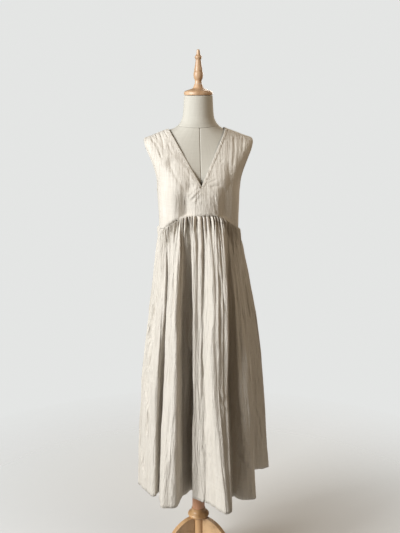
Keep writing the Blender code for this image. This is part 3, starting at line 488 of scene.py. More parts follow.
# The bodice. A front with a deep V and a back with a shallow round neck, both cut from
# washed natural linen with wide shoulders and no sleeves, sewn at the shoulders and
# sides. The front falls from the bust in soft folds and puckers at its sewn edges.

LINEN_THREAD = (0.64, 0.60, 0.54)
LINEN_SHADE = (0.50, 0.455, 0.39)
linen = cloth_finish("natural linen", LINEN_THREAD, LINEN_SHADE, 0.0012, 0.88, 0.0004, 0.0036)

CLOTH = 0.0016            # from the wearer's side of the seam line to the outer face
THIN_CLOTH = 0.0007       # the woven cloth itself
FORM_ROOM = 0.0007
SEAM_GAP = 0.00015
CLOTH_FULLNESS = 2.45
BODICE_BUST = 0.35
BODICE_RINGS = (
    (0.0780, 1.6105, 0.0570, 1.6010, 0.0645, 1.6140),
    (0.1000, 1.6035, 0.0610, 1.5850, 0.0710, 1.6000),
    (0.1250, 1.5945, 0.0670, 1.5620, 0.0800, 1.5830),
    (0.1500, 1.5845, 0.0740, 1.5370, 0.0890, 1.5620),
    (0.1735, 1.5745, 0.0815, 1.5120, 0.0955, 1.5400),
    (0.1750, 1.5540, 0.0890, 1.4920, 0.1000, 1.5180),
    (0.1645, 1.5240, 0.0970, 1.4720, 0.1030, 1.4930),
    (0.1485, 1.4850, 0.1050, 1.4520, 0.1035, 1.4640),
    (0.1365, 1.4480, 0.1110, 1.4340, 0.1020, 1.4380),
    (0.1330, 1.4130, 0.1150, 1.4130, 0.1005, 1.4130),
    (0.1315, 1.3800, 0.1155, 1.3930, 0.0995, 1.3850),
    (0.1300, 1.3480, 0.1150, 1.3750, 0.0995, 1.3570),
    (0.1290, 1.3170, 0.1145, 1.3570, 0.1000, 1.3290),
    (0.1285, 1.2870, 0.1145, 1.3390, 0.1005, 1.3010),
)
SHOULDER_TIP_RING = 4.0
UNDERARM_RING = 9.0
WAIST_RING = 13.0
NECK_POINT_X = {-1: 0.0960, 1: 0.0840}
V_TIP_Z = 1.4330
BACK_NECK_Z = 1.5450
ARMHOLE_SCOOP = {"front": 21.0, "back": 17.0}
HALF_COLUMNS = 56
BODICE_ROWS = {"front": 90, "back": 80}
NECK_ROW = {"front": 60, "back": 40}
UNDERARM_ROW = {"front": 60, "back": 55}
GATHERS = 44               # on each skirt panel
HALVINGS = 34              # when a place on the bodice is sought
FORM_NEAR = 0.02           # cloth farther than this from the form is left alone
WAIST_RISE = 0.0003        # gap between the bodice's edge and the skirt's


def bodice_point(level, degrees):
    """Points on the wearer's side of the bodice."""
    arched = np.clip((np.asarray(level) - UNDERARM_RING) / (WAIST_RING - UNDERARM_RING), 0.0, 1.0)
    return bust_lift(section_point(BODICE_RINGS, level, degrees, CLOTH_FULLNESS, arched),
                     BUST_HEIGHT * BODICE_BUST)


def outward(level, degrees):
    """Outward directions of the bodice."""
    down = bodice_point(np.minimum(level + 0.02, WAIST_RING), degrees)
    down = down - bodice_point(np.maximum(level - 0.02, 0.0), degrees)
    along = bodice_point(level, degrees + 0.5) - bodice_point(level, degrees - 0.5)
    normal = np.cross(down, along)
    return normal / np.linalg.norm(normal, axis=-1, keepdims=True)


def armhole_edge(part, share):
    """Level and angle of the armhole's edge, from the shoulder tip to the underarm."""
    level = SHOULDER_TIP_RING + (UNDERARM_RING - SHOULDER_TIP_RING) * share
    bow = np.sin(np.pi * np.clip(share, 0.0, 1.0) ** 0.85)
    bow = np.clip(bow, 0.0, 1.0) ** 0.62
    return level, 90.0 - ARMHOLE_SCOOP[part] * bow


def place_on_bodice(part, x, z):
    """Levels and angles where a panel passes places seen from the front or back."""
    x = np.asarray(x, float)
    z = np.asarray(z, float)
    low = np.zeros(x.shape)
    high = np.full(x.shape, WAIST_RING)
    for _ in range(HALVINGS):
        level = 0.5 * (low + high)
        half = smooth_rows(BODICE_RINGS, level)[..., 0]
        share = np.clip(np.abs(x) / half, 0.0, 1.0)
        degrees = np.degrees(np.arcsin(share ** (CLOTH_FULLNESS / 2.0)))
        if part == "back":
            degrees = 180.0 - degrees
        above = bodice_point(level, degrees)[..., 2] > z
        low = np.where(above, level, low)
        high = np.where(above, high, level)
    return level, degrees


def neckline(part, side, share):
    """Levels and angles on the neckline, from the shoulder to the centre."""
    halves = [row[0] for row in BODICE_RINGS[:5]]
    x_start = NECK_POINT_X[side]
    level_start = float(np.interp(x_start, halves, range(5)))
    z_start = float(bodice_point(level_start, 90.0)[2])
    if part == "front":
        x = x_start * (1.0 - share)
        z = z_start + (V_TIP_Z - z_start) * share
    else:
        x = x_start * np.cos(share * np.pi / 2.0)
        z = z_start + (BACK_NECK_Z - z_start) * np.sin(share * np.pi / 2.0)
    level, degrees = place_on_bodice(part, x, z)
    return np.where(share == 0.0, level_start, level), np.where(share == 0.0, 90.0, degrees)


def lengths_along(line):
    """Length from the start of a line to each of its places."""
    return np.concatenate([[0.0], np.cumsum(np.linalg.norm(np.diff(line, axis=0), axis=1))])


def even_shares(curve, count):
    """Shares of a curve of places that part it into equal lengths."""
    shares = np.linspace(0.0, 1.0, 121)
    lengths = lengths_along(bodice_point(*curve(shares)))
    return np.interp(np.linspace(0.0, lengths[-1], count + 1), lengths, shares)


def half_grid(part, side):
    """Levels and angles of one half of a panel, rows from the shoulder down, columns from
    the neckline or centre to the armhole or side."""
    rows = BODICE_ROWS[part]
    neck_row = NECK_ROW[part]
    arm_row = UNDERARM_ROW[part]
    middle = 0.0 if part == "front" else 180.0

    def edge_line(curve, count, degrees):
        line = np.stack(curve(even_shares(curve, count)), axis=-1)
        below = np.linspace(0.0, 1.0, rows - count + 1)[1:]
        level = line[-1, 0] + (WAIST_RING - line[-1, 0]) * below
        return np.concatenate([line, np.stack([level, np.full(len(below), degrees)], axis=-1)])

    inner = edge_line(lambda share: neckline(part, side, share), neck_row, middle)
    inner[neck_row:, 1] = middle
    outer = edge_line(lambda share: armhole_edge(part, share), arm_row, 90.0)
    if part == "back":
        outer[:, 1] = 180.0 - outer[:, 1]
    across = np.linspace(0.0, 1.0, HALF_COLUMNS + 1)[None, :, None]
    return inner[:, None, :] + (outer - inner)[:, None, :] * across


def pleat_row(share, drop, count, seed, depth, swell, length, sharp):
    """Ridges and hollows side by side across a panel, each with a depth, a length and a
    place of its own. They swell in below the seam and die out on the way down."""
    chance = np.random.default_rng(seed)
    marks = (np.arange(count) + 0.5 + chance.uniform(-0.32, 0.32, count)) / count
    depths = chance.uniform(0.45, 1.45, count)
    lengths = length * chance.uniform(0.5, 1.6, count)
    sway = chance.uniform(-0.5, 0.5, count) / count
    order = np.arange(count)
    shifted = share - np.interp(share, marks, sway) * np.clip(drop / length, 0.0, 1.6)
    stops = np.concatenate([[-1.0 / count + marks[0]], marks, [marks[-1] + 1.0 / count]])
    phase = np.interp(shifted, stops, np.arange(-1, count + 1))
    ridge = 1.0 - 2.0 * np.abs(np.sin(np.pi * phase)) ** sharp
    fall = np.exp(-(drop / np.interp(phase, order, lengths)) ** 2)
    rise = np.clip(drop / swell, 0.0, 1.0) if swell > 0.0 else 1.0
    edge = np.clip(np.minimum(share, 1.0 - share) * count * 0.9, 0.0, 1.0)
    return depth * np.interp(phase, order, depths) * ridge * fall * rise * edge


# Soft folds of the bodice where the cloth falls from the bust and pulls at the armholes.
SOFT_FOLDS = {
    "front": (
        # name             x       z top   z foot  height   spread  lean
        ("left bust fall", -0.088, 1.430, 1.310, 0.0075, 0.015, 0.004),
        ("left hollow", -0.052, 1.425, 1.300, -0.0120, 0.014, 0.006),
        ("middle rise", 0.014, 1.400, 1.320, 0.0060, 0.022, 0.000),
        ("right edge", 0.050, 1.410, 1.310, 0.0022, 0.014, 0.004),
        ("right hollow", 0.084, 1.460, 1.300, -0.0055, 0.019, -0.008),
        ("right side rise", 0.114, 1.400, 1.300, 0.0035, 0.009, 0.004),
        ("left arm pull", -0.128, 1.480, 1.400, 0.0020, 0.012, 0.010),
    ),
    "back": (
        ("left blade fall", -0.078, 1.480, 1.320, 0.0040, 0.022, -0.006),
        ("left back hollow", -0.040, 1.430, 1.300, -0.0060, 0.013, 0.002),
        ("back middle rise", 0.004, 1.420, 1.300, 0.0034, 0.018, 0.000),
        ("right back hollow", 0.046, 1.440, 1.300, -0.0065, 0.013, 0.004),
        ("right blade fall", 0.084, 1.480, 1.320, 0.0040, 0.022, 0.008),
        ("left side hollow", -0.112, 1.440, 1.300, -0.0035, 0.010, -0.004),
        ("right side hollow", 0.114, 1.440, 1.300, -0.0035, 0.010, 0.004),
    ),
}
FOLD_FOOT = 0.008          # height over which the folds run out above the waist seam
FOLD_TOP = 0.014           # height over which they begin
BODICE_LIP = 0.5           # cloth raised beside a crease, as a share of its depth
SEAM_PUCKERS = (0.0018, 0.0, 0.05, 1.8)         # depth, swell, length, sharpness
# Creases, each a trough along a line of places (x, z) with its depth and its width.
BODICE_CREASES = {
    "front": (
        ("below the tip, middle", ((-0.002, 1.423), (-0.018, 1.407), (-0.030, 1.390)), 0.0020, 0.0028),
        ("below the tip, outer", ((-0.008, 1.427), (-0.025, 1.416), (-0.038, 1.402)), 0.0016, 0.0026),
        ("below the tip, inner", ((0.003, 1.420), (-0.008, 1.401), (-0.018, 1.379)), 0.0014, 0.0028),
        ("beside the tip, low", ((0.022, 1.444), (0.042, 1.450), (0.065, 1.459)), 0.0022, 0.0030),
        ("beside the tip, high", ((0.023, 1.453), (0.039, 1.462), (0.051, 1.472)), 0.0018, 0.0028),
        ("right edge, low", ((0.027, 1.462), (0.034, 1.472), (0.042, 1.485)), 0.0016, 0.0026),
        ("right edge, high", ((0.056, 1.496), (0.062, 1.504), (0.070, 1.513)), 0.0016, 0.0024),
        ("right bust pull", ((0.033, 1.431), (0.064, 1.439), (0.095, 1.442)), 0.0012, 0.0050),
        ("left bust drape", ((-0.093, 1.499), (-0.068, 1.467), (-0.036, 1.430)), 0.0040, 0.0120),
        ("left edge, long", ((-0.055, 1.486), (-0.039, 1.461), (-0.021, 1.436)), 0.0012, 0.0032),
        ("left edge, short", ((-0.062, 1.474), (-0.040, 1.446)), 0.0011, 0.0028),
        ("left bust short", ((-0.076, 1.480), (-0.060, 1.452)), 0.0010, 0.0030),
        ("shoulder slant", ((-0.149, 1.574), (-0.129, 1.551), (-0.124, 1.522)), 0.0017, 0.0026),
        ("shoulder middle", ((-0.126, 1.596), (-0.117, 1.574), (-0.115, 1.548)), 0.0015, 0.0024),
        ("shoulder inner", ((-0.100, 1.562), (-0.088, 1.533)), 0.0011, 0.0030),
        ("shoulder tip", ((-0.156, 1.586), (-0.147, 1.566)), 0.0016, 0.0020),
        ("shoulder seam a", ((-0.141, 1.594), (-0.133, 1.577)), 0.0018, 0.0020),
        ("shoulder seam b", ((-0.112, 1.603), (-0.102, 1.584)), 0.0016, 0.0020),
        ("shoulder low", ((-0.139, 1.558), (-0.127, 1.532)), 0.0012, 0.0024),
        ("left side faint", ((-0.113, 1.436), (-0.115, 1.392), (-0.116, 1.350)), 0.0012, 0.0040),
        ("middle a", ((0.006, 1.385), (0.007, 1.347)), 0.0014, 0.0026),
        ("middle b", ((-0.011, 1.382), (-0.013, 1.350)), 0.0008, 0.0028),
        ("middle c", ((0.023, 1.376), (0.029, 1.344)), 0.0014, 0.0026),
        ("right streak", ((0.040, 1.402), (0.048, 1.347)), 0.0018, 0.0030),
        ("right soft", ((0.094, 1.490), (0.083, 1.436), (0.076, 1.392), (0.070, 1.347)), 0.0018, 0.0120),
        ("right shoulder a", ((0.112, 1.580), (0.110, 1.540), (0.104, 1.500)), 0.0012, 0.0036),
        ("right shoulder b", ((0.140, 1.575), (0.136, 1.540)), 0.0012, 0.0030),
    ),
    "back": (
        ("left shoulder a", ((-0.120, 1.585), (-0.112, 1.555), (-0.114, 1.525)), 0.0015, 0.0028),
        ("left shoulder b", ((-0.140, 1.578), (-0.136, 1.540)), 0.0013, 0.0028),
        ("left shoulder c", ((-0.104, 1.594), (-0.100, 1.575)), 0.0015, 0.0020),
        ("right shoulder a", ((0.126, 1.585), (0.118, 1.550), (0.120, 1.520)), 0.0015, 0.0028),
        ("right shoulder b", ((0.145, 1.575), (0.142, 1.540)), 0.0013, 0.0028),
        ("right shoulder c", ((0.108, 1.594), (0.104, 1.578)), 0.0015, 0.0020),
        ("neck pull right", ((0.010, 1.540), (0.030, 1.515), (0.038, 1.480)), 0.0014, 0.0040),
        ("neck pull left", ((-0.020, 1.540), (-0.040, 1.512), (-0.046, 1.470)), 0.0014, 0.0040),
        ("left blade", ((-0.100, 1.430), (-0.070, 1.415), (-0.050, 1.395)), 0.0015, 0.0040),
        ("right blade", ((0.104, 1.420), (0.080, 1.400), (0.060, 1.380)), 0.0015, 0.0040),
        ("middle streak a", ((-0.016, 1.392), (-0.014, 1.346)), 0.0014, 0.0028),
        ("middle streak b", ((0.026, 1.398), (0.022, 1.346)), 0.0014, 0.0026),
    ),
}
# Uneven small swells: height, how many to 1 m along each axis, and a shift.
BODICE_CRUMPLES = (
    (0.0010, (22.0, 22.0, 14.0), (0.0, 0.0, 0.0)),
    (0.00030, (70.0, 70.0, 48.0), (5.0, 0.0, 0.0)),
)


def crumple(points, swells):
    """Uneven small swells of the cloth at each point."""
    relief = np.zeros(points.shape[:-1])
    for height, pitch, shift in swells:
        fitted = points * np.array(pitch) + np.array(shift)
        for place in np.ndindex(relief.shape):
            relief[place] += height * noise.noise(Vector(fitted[place]))
    return relief


def press(relief, gap, depth, width, lip):
    """Press a crease into the relief, with a lip of cloth raised along both its sides."""
    relief -= depth * np.exp(-(gap / width) ** 2)
    relief += lip * depth * np.exp(-((gap - 2.0 * width) / width) ** 2)


def distance_to_line(points, line):
    """Distance from each point to a line through places, all in the same space."""
    best = np.full(points.shape[:-1], 1.0e9)
    for start, end in zip(line[:-1], line[1:]):
        run = end - start
        share = np.clip(((points - start) @ run) / (run @ run), 0.0, 1.0)
        gap = np.linalg.norm(points - (start + share[..., None] * run), axis=-1)
        best = np.minimum(best, gap)
    return best


def bodice_relief(part, points, level, degrees):
    """How far the cloth stands out of its plain fall, over its folds, creases and puckers."""
    x = points[..., 0]
    z = points[..., 2]
    relief = np.zeros(x.shape)
    seam = bodice_point(np.full(x.shape, WAIST_RING), degrees)[..., 2]
    run_out = np.clip((z - seam) / FOLD_FOOT, 0.0, 1.0) ** 0.7
    for _, centre, top, foot, height, spread, lean in SOFT_FOLDS[part]:
        place = centre + lean * (top - z) / (top - foot)
        window = 1.0 / (1.0 + np.exp((z - top) / FOLD_TOP))
        relief += height * np.exp(-0.5 * ((x - place) / spread) ** 2) * window * run_out
    flat = np.stack([x, z], axis=-1)
    for _, line, depth, width in BODICE_CREASES[part]:
        press(relief, distance_to_line(flat, np.array(line)), depth, width, BODICE_LIP)
    start = -90.0 if part == "front" else 90.0
    share = (degrees - start) % 360.0 / 180.0
    share = np.where(share > 1.5, share - 2.0, share)
    seed = 3 if part == "front" else 5
    above = np.clip((WAIST_RING - level) / 0.55, 0.0, 1.0)
    relief += pleat_row(share, 0.0 * share, GATHERS, seed, *SEAM_PUCKERS) * (1.0 - above) ** 1.5
    return relief + crumple(points, BODICE_CRUMPLES)


def clear_of_form(points, room):
    """Move cloth out where it would touch the form."""
    moved = points.reshape(-1, 3).copy()
    for k, point in enumerate(moved):
        spot, normal, _, gap = form_tree.find_nearest(Vector(point))
        if spot is None or gap > FORM_NEAR:
            continue
        rise = (Vector(point) - spot).dot(normal)
        if rise < room:
            moved[k] = point + np.array(normal) * (room - rise)
    return moved.reshape(points.shape)


def panel_points(part):
    """Outer face and outward directions of the wearer's right half (-X) and left half."""
    halves = []
    away = -1.0 if part == "front" else 1.0
    for side in (-1, 1):
        grid = half_grid(part, side)
        level = grid[..., 0]
        degrees = side * grid[..., 1]
        if side < 0 and part == "back":
            degrees = degrees + 360.0
        points = bodice_point(level, degrees)
        normals = outward(level, degrees)
        relief = bodice_relief(part, points, level, degrees)
        relief[0, :] = 0.0
        points = points + normals * (CLOTH + relief)[..., None]
        points = clear_of_form(points, THIN_CLOTH + FORM_ROOM)
        for place in ((0, slice(None)), (slice(UNDERARM_ROW[part], None), -1)):
            points[place][..., 1] = away * np.maximum(away * points[place][..., 1], SEAM_GAP)
        points[-1, :, 2] += WAIST_RISE
        halves.append((points, normals))
    return halves


def panel_mesh(name, part):
    """Join a panel's halves below the neckline."""
    left, right = (points.copy() for points, _ in panels[part])
    joined = (slice(NECK_ROW[part], None), 0)
    middle = 0.5 * (left[joined] + right[joined])
    middle[:, 0] = 0.0
    left[joined] = middle
    points = np.stack([left, right])
    corners = np.arange(points[..., 0].size).reshape(points.shape[:3])
    corners[1][joined] = corners[0][joined]
    points = points.reshape(-1, 3)
    return mesh_piece(name, points, quads(corners[0]) + quads(corners[1]), linen, points[:, [0, 2]])


def face_out(piece):
    """Turn an open piece so that its faces point away from the post axis."""
    mesh = piece.data
    spots = np.zeros(3 * len(mesh.polygons))
    ways = np.zeros(3 * len(mesh.polygons))
    mesh.polygons.foreach_get("center", spots)
    mesh.polygons.foreach_get("normal", ways)
    spots = spots.reshape(-1, 3) - AXIS
    ways = ways.reshape(-1, 3)
    if (spots[:, :2] * ways[:, :2]).sum() < 0.0:
        mesh.flip_normals()


def tidy_loose(piece):
    """Remove corners that no face uses."""
    shell = bmesh.new()
    shell.from_mesh(piece.data)
    loose = [v for v in shell.verts if not v.link_faces]
    bmesh.ops.delete(shell, geom=loose, context="VERTS")
    shell.to_mesh(piece.data)
    shell.free()


def thicken(piece, thickness):
    """Give the cloth its thickness towards the wearer."""
    face_out(piece)
    wall = piece.modifiers.new("cloth", "SOLIDIFY")
    wall.thickness = thickness
    wall.offset = -1.0
    wall.use_even_offset = False


panels = {}
for part in ("front", "back"):
    panels[part] = panel_points(part)
    panel = panel_mesh("linen_bodice_" + part, part)
    tidy_loose(panel)
    thicken(panel, THIN_CLOTH)
    hand_over(panel, "linen", "bodice_" + part)


# The skirt. Two long panels of the same linen, gathered into the waist seam and falling
# free in deep uneven folds over the stand, each with a deep hem turned up inside and
# stitched. Small gathers run into longer pleats, and those into the folds at the hem.

SKIRT_COLUMNS = 430
SKIRT_ROWS = 106
HEM_Z = 0.3490
WAIST_SPREAD = 1.25        # how fast the cloth spreads below the seam
FORM_GAP = 0.0065
FORM_FOOT = 0.06           # height over which the cloth leaves the form's lower edge
HIP_DROP = 0.46            # the form ends above this drop
FINE_DROP = 0.10           # the rows are close above this drop
FINE_ROWS = 33
HEM_DEPTH = 0.080
HEM_STEP = 0.0006
HEM_CREASE = 0.0007
LED_SPREAD = 0.05          # how far to each side a led corner lifts the hem
GATHER_PUFF = 0.0050       # how far the gathered cloth swells out below the seam
PUFF_RISE = 0.016
PUFF_FADE = 0.12
TIGHT_ANGLE = 50.0         # where the gathers are deepest, on both sides
TIGHT_SPREAD = 16.0
TIGHT_MORE = 0.9           # how much deeper they are there, as a share
SKIRT_LIP = 0.45           # cloth raised beside a crease, as a share of its depth
SIDE_SHARE = 0.006         # how near the side seams the folds run out
SEAM_PULL = 0.0012
TUCK = 0.0009              # how far the gathered edge goes in under the bodice
TUCK_DROP = 0.006
EDGE_LIFT = 0.0022         # how far that edge reaches up
EDGE_DROP = 0.004
PANEL_DROP = 0.0002        # the whole panel hangs lower by this
HEM_SOFTNESS = 0.0012      # height over which the turned-up edge shows
HEM_CREASE_SPREAD = 0.003
HEM_STEEPEST = 30.0        # keeps the step's exponent in range
CRUMPLE_DROP = 0.05        # drop over which the small swells grow
UPPER_DROP = 0.20
MIDDLE_DROP = 0.545
# Corners of the folds seen from above, each (x, y, rounding) at the upper drop, the middle
# drop and the hem. A fold ends in the hollow between it and the next. The corners led from
# the waist seam have the angle there, and how far the hem rises at them.
FOLD_CORNERS = (
    ("a left", (-0.157, 0.019, 0.030), (-0.199, 0.024, 0.030), (-0.225, 0.026, 0.030)),
    ("a right", (-0.117, -0.105, 0.006), (-0.147, -0.101, 0.007), (-0.160, -0.100, 0.009)),
    ("a hollow", (-0.107, -0.077, 0.004), (-0.124, -0.041, 0.006), (-0.140, -0.033, 0.008), -51.0, 0.004),
    ("b left", (-0.106, -0.113, 0.006), (-0.124, -0.116, 0.009), (-0.144, -0.164, 0.020)),
    ("b right", (-0.084, -0.157, 0.008), (-0.087, -0.171, 0.011), (-0.088, -0.170, 0.018)),
    ("b flank", (-0.056, -0.117, 0.004), (-0.057, -0.103, 0.006), (-0.067, -0.108, 0.010), -17.5, 0.010),
    ("b hollow", (-0.017, -0.104, 0.005), (-0.008, -0.061, 0.007), (-0.018, -0.054, 0.008), -13.5, 0.014),
    ("c left", (-0.034, -0.136, 0.003), (-0.034, -0.143, 0.004), (-0.0335, -0.128, 0.005), -10.0, 0.013),
    ("c bend", (0.005, -0.138, 0.008), (0.006, -0.146, 0.012), (0.020, -0.148, 0.030), 1.5, 0.003),
    ("c ridge", (0.036, -0.163, 0.016), (0.035, -0.188, 0.024), (0.073, -0.224, 0.016), 8.0, 0.000),
    ("c right", (0.080, -0.158, 0.005), (0.084, -0.168, 0.007), (0.096, -0.210, 0.012), 24.0, 0.001),
    ("c hollow", (0.078, -0.113, 0.006), (0.083, -0.090, 0.008), (0.108, -0.098, 0.008), 33.0, 0.003),
    ("d left", (0.103, -0.125, 0.008), (0.122, -0.139, 0.016), (0.130, -0.134, 0.028)),
    ("d right", (0.136, -0.098, 0.010), (0.168, -0.123, 0.010), (0.188, -0.133, 0.022)),
    ("d hollow", (0.145, -0.024, 0.010), (0.180, 0.024, 0.010), (0.209, 0.069, 0.010), 72.0, 0.006),
    ("e left", (0.169, 0.010, 0.020), (0.218, 0.048, 0.026), (0.248, 0.073, 0.030)),
    ("e right", (0.181, 0.042, 0.016), (0.246, 0.086, 0.014), (0.288, 0.106, 0.012)),
    ("e hollow", (0.140, 0.070, 0.012), (0.163, 0.096, 0.014), (0.170, 0.104, 0.014), 112.0, 0.008),
    ("f left", (0.148, 0.103, 0.016), (0.188, 0.150, 0.020), (0.212, 0.172, 0.022)),
    ("f right", (0.130, 0.120, 0.016), (0.162, 0.174, 0.020), (0.180, 0.200, 0.020)),
    ("f hollow", (0.095, 0.102, 0.012), (0.107, 0.126, 0.015), (0.112, 0.126, 0.016), 142.0, 0.006),
    ("g left", (0.075, 0.145, 0.018), (0.086, 0.201, 0.022), (0.095, 0.226, 0.026)),
    ("g right", (0.046, 0.150, 0.018), (0.044, 0.211, 0.022), (0.042, 0.242, 0.024)),
    ("g hollow", (0.017, 0.119, 0.012), (0.011, 0.142, 0.015), (0.012, 0.136, 0.016), 173.0, 0.006),
    ("h left", (-0.021, 0.146, 0.018), (-0.028, 0.196, 0.022), (-0.028, 0.220, 0.026)),
    ("h right", (-0.056, 0.146, 0.018), (-0.074, 0.198, 0.020), (-0.085, 0.226, 0.022)),
    ("h hollow", (-0.077, 0.110, 0.012), (-0.093, 0.131, 0.015), (-0.096, 0.130, 0.016), 205.0, 0.006),
    ("i left", (-0.112, 0.124, 0.018), (-0.142, 0.169, 0.020), (-0.155, 0.196, 0.024)),
    ("i right", (-0.138, 0.102, 0.018), (-0.180, 0.136, 0.020), (-0.206, 0.150, 0.022)),
    ("i hollow", (-0.127, 0.067, 0.012), (-0.147, 0.080, 0.015), (-0.154, 0.088, 0.016), 240.0, 0.006),
)
GATHER_SIZES = (0.0050, 0.004, 0.050, 2.6)      # depth, swell, length, sharpness
PLEAT_ROWS = (
    # count, shift of the seed, depth, swell, length, sharpness
    (21, 10, 0.0026, 0.05, 0.26, 2.2), (33, 20, 0.0014, 0.10, 0.60, 1.7),
    (25, 30, 0.0010, 0.25, 1.10, 1.5),
)
SKIRT_CRUMPLES = (
    (0.0030, (14.0, 14.0, 5.0), (0.0, 0.0, 0.0)),
    (0.0019, (46.0, 46.0, 11.0), (3.0, 0.0, 0.0)),
    (0.0004, (110.0, 110.0, 60.0), (0.0, 7.0, 0.0)),
)
# The same on the cut cloth: across the panel, down it, and the panel's own seed.
CUT_CRUMPLES = (
    (0.0024, (44.0, 3.2, 1.0), (0.0, 0.0, 0.0)),
    (0.0011, (96.0, 7.5, 1.0), (0.0, 0.0, 4.0)),
)
PLEATS = (
    # angle at the waist, at the hem, depth, half width at the seam and lower down, length
    (-73.0, -74.0, 0.0070, 0.7, 0.8, 0.030), (-66.5, -66.0, 0.0085, 0.7, 0.9, 0.045),
    (-60.0, -60.0, 0.0090, 0.7, 0.8, 0.034), (-51.5, -51.0, 0.0090, 0.7, 0.9, 0.040),
    (-47.6, -47.0, 0.0075, 0.6, 0.8, 0.024), (-41.5, -41.5, 0.0070, 0.7, 0.9, 0.036),
    (46.5, 46.0, 0.0060, 0.7, 0.9, 0.040), (55.0, 55.0, 0.0070, 0.7, 0.9, 0.030),
    (63.0, 63.0, 0.0070, 0.7, 0.9, 0.046), (69.5, 69.0, 0.0060, 0.7, 0.8, 0.028),
    (-80.0, -78.0, 0.0060, 1.1, 3.2, 0.34), (-70.0, -71.0, 0.0050, 1.0, 2.4, 0.26),
    (-62.0, -63.0, 0.0070, 1.0, 2.6, 0.36), (-55.5, -56.0, 0.0060, 0.9, 1.8, 0.20),
    (-45.0, -45.5, 0.0060, 1.0, 2.2, 0.16), (-38.5, -39.0, 0.0055, 0.9, 1.8, 0.30),
    (-31.6, -30.5, 0.0065, 1.1, 2.2, 0.14), (-14.2, -14.2, 0.0120, 2.0, 2.2, 0.24),
    (-21.0, -21.0, 0.0060, 0.8, 1.2, 0.05), (-5.6, -5.6, 0.0026, 0.8, 1.3, 0.42),
    (1.4, 1.0, 0.0070, 0.7, 0.9, 0.32), (8.2, 20.0, 0.0085, 1.2, 2.0, 0.30),
    (17.8, 20.0, 0.0070, 0.8, 1.4, 0.08), (21.5, 27.0, 0.0034, 1.0, 1.6, 0.20),
    (42.0, 42.5, 0.0095, 1.2, 2.0, 0.28), (50.0, 50.0, 0.0060, 1.0, 2.6, 0.34),
    (59.0, 58.0, 0.0070, 1.0, 2.4, 0.30), (66.0, 66.0, 0.0060, 1.0, 2.4, 0.22),
    (80.0, 79.0, 0.0060, 1.0, 2.8, 0.36), (86.0, 87.0, 0.0055, 1.0, 2.6, 0.46),
    (98.0, 97.0, 0.0065, 1.1, 2.8, 0.30), (106.0, 106.0, 0.0050, 1.0, 2.4, 0.24),
    (121.0, 120.0, 0.0080, 1.2, 2.8, 0.36), (132.0, 133.0, 0.0060, 1.0, 2.6, 0.24),
    (151.0, 150.0, 0.0070, 1.1, 2.8, 0.34), (162.0, 163.0, 0.0080, 1.2, 2.6, 0.28),
    (183.0, 182.0, 0.0080, 1.2, 2.8, 0.36), (194.0, 195.0, 0.0060, 1.0, 2.6, 0.24),
    (216.0, 215.0, 0.0070, 1.1, 2.8, 0.34), (228.0, 229.0, 0.0080, 1.1, 2.6, 0.28),
    (253.0, 252.0, 0.0070, 1.1, 2.8, 0.34), (266.0, 265.0, 0.0050, 1.0, 2.4, 0.24),
)


def rounded_outline(corners, step=0.001):
    """A closed line through rounded corners (x, y, radius), and where each lies on it."""
    line = []
    marks = []
    for k in range(len(corners)):
        here = np.array(corners[k][:2])
        before = np.array(corners[k - 1][:2]) - here
        after = np.array(corners[(k + 1) % len(corners)][:2]) - here
        reach_before = np.linalg.norm(before)
        reach_after = np.linalg.norm(after)
        before = before / reach_before
        after = after / reach_after
        half = 0.5 * math.acos(np.clip(before @ after, -1.0, 1.0))
        tangent = min(corners[k][2] / math.tan(half), 0.46 * min(reach_before, reach_after))
        radius = tangent * math.tan(half)
        middle = before + after
        centre = here + middle / np.linalg.norm(middle) * radius / math.sin(half)
        start = here + before * tangent - centre
        end = here + after * tangent - centre
        sweep = math.pi - 2.0 * half
        turn = math.copysign(1.0, start[0] * end[1] - start[1] * end[0])
        pieces = max(int(sweep * radius / step), 8)
        base = math.atan2(start[1], start[0])
        for j in range(pieces + 1):
            angle = base + turn * sweep * j / pieces
            if j == pieces // 2:
                marks.append(len(line))
            line.append(centre + radius * np.array([math.cos(angle), math.sin(angle)]))
    return np.array(line), marks


LED = [row for row in FOLD_CORNERS if len(row) > 4]
led_angles = np.array([LED[-1][4] - 360.0] + [row[4] for row in LED] + [LED[0][4] + 360.0])
led_rises = np.array([LED[-1][5]] + [row[5] for row in LED] + [LED[0][5]])


def section_line(section):
    """A section's closed line, the length along it, and where its led corners lie."""
    line, marks = rounded_outline([row[section] for row in FOLD_CORNERS])
    line = np.vstack([line, line[:1]])
    lengths = lengths_along(line)
    led = [lengths[mark] for row, mark in zip(FOLD_CORNERS, marks) if row in LED]
    led = np.array([led[-1] - lengths[-1]] + led + [led[0] + lengths[-1]])
    return line, lengths, led


SECTION_LINES = [section_line(section) for section in (1, 2, 3)]


def section_plan(which, degrees):
    """Plan of a section for angles at the waist seam, and how far off a led corner is."""
    line, lengths, led = SECTION_LINES[which]
    wrapped = (degrees - led_angles[0]) % 360.0 + led_angles[0]
    place = np.interp(wrapped, led_angles, led)
    nearest = np.abs(place[..., None] - led).min(axis=-1)
    place = place % lengths[-1]
    x = np.interp(place, lengths, line[:, 0])
    y = np.interp(place, lengths, line[:, 1])
    return np.stack([x, y], axis=-1), nearest


def form_reach(x, y, z):
    """Half size of the form in a direction from the post axis at a height."""
    heights = [row[1] for row in TORSO_RINGS][::-1]
    order = np.arange(len(TORSO_RINGS))[::-1]
    rings = smooth_rows(TORSO_RINGS, np.interp(z, heights, order))
    half, _, front, _, back, _ = np.moveaxis(rings, -1, 0)
    depth = np.where(y < 0.0, front, back)
    span = np.hypot(x, y)
    size = (np.abs(x) / half) ** FORM_FULLNESS + (np.abs(y) / depth) ** FORM_FULLNESS
    reach = span / size ** (1.0 / FORM_FULLNESS)
    return reach * np.clip((z - TORSO_BASE + FORM_FOOT) / FORM_FOOT, 0.0, 1.0)


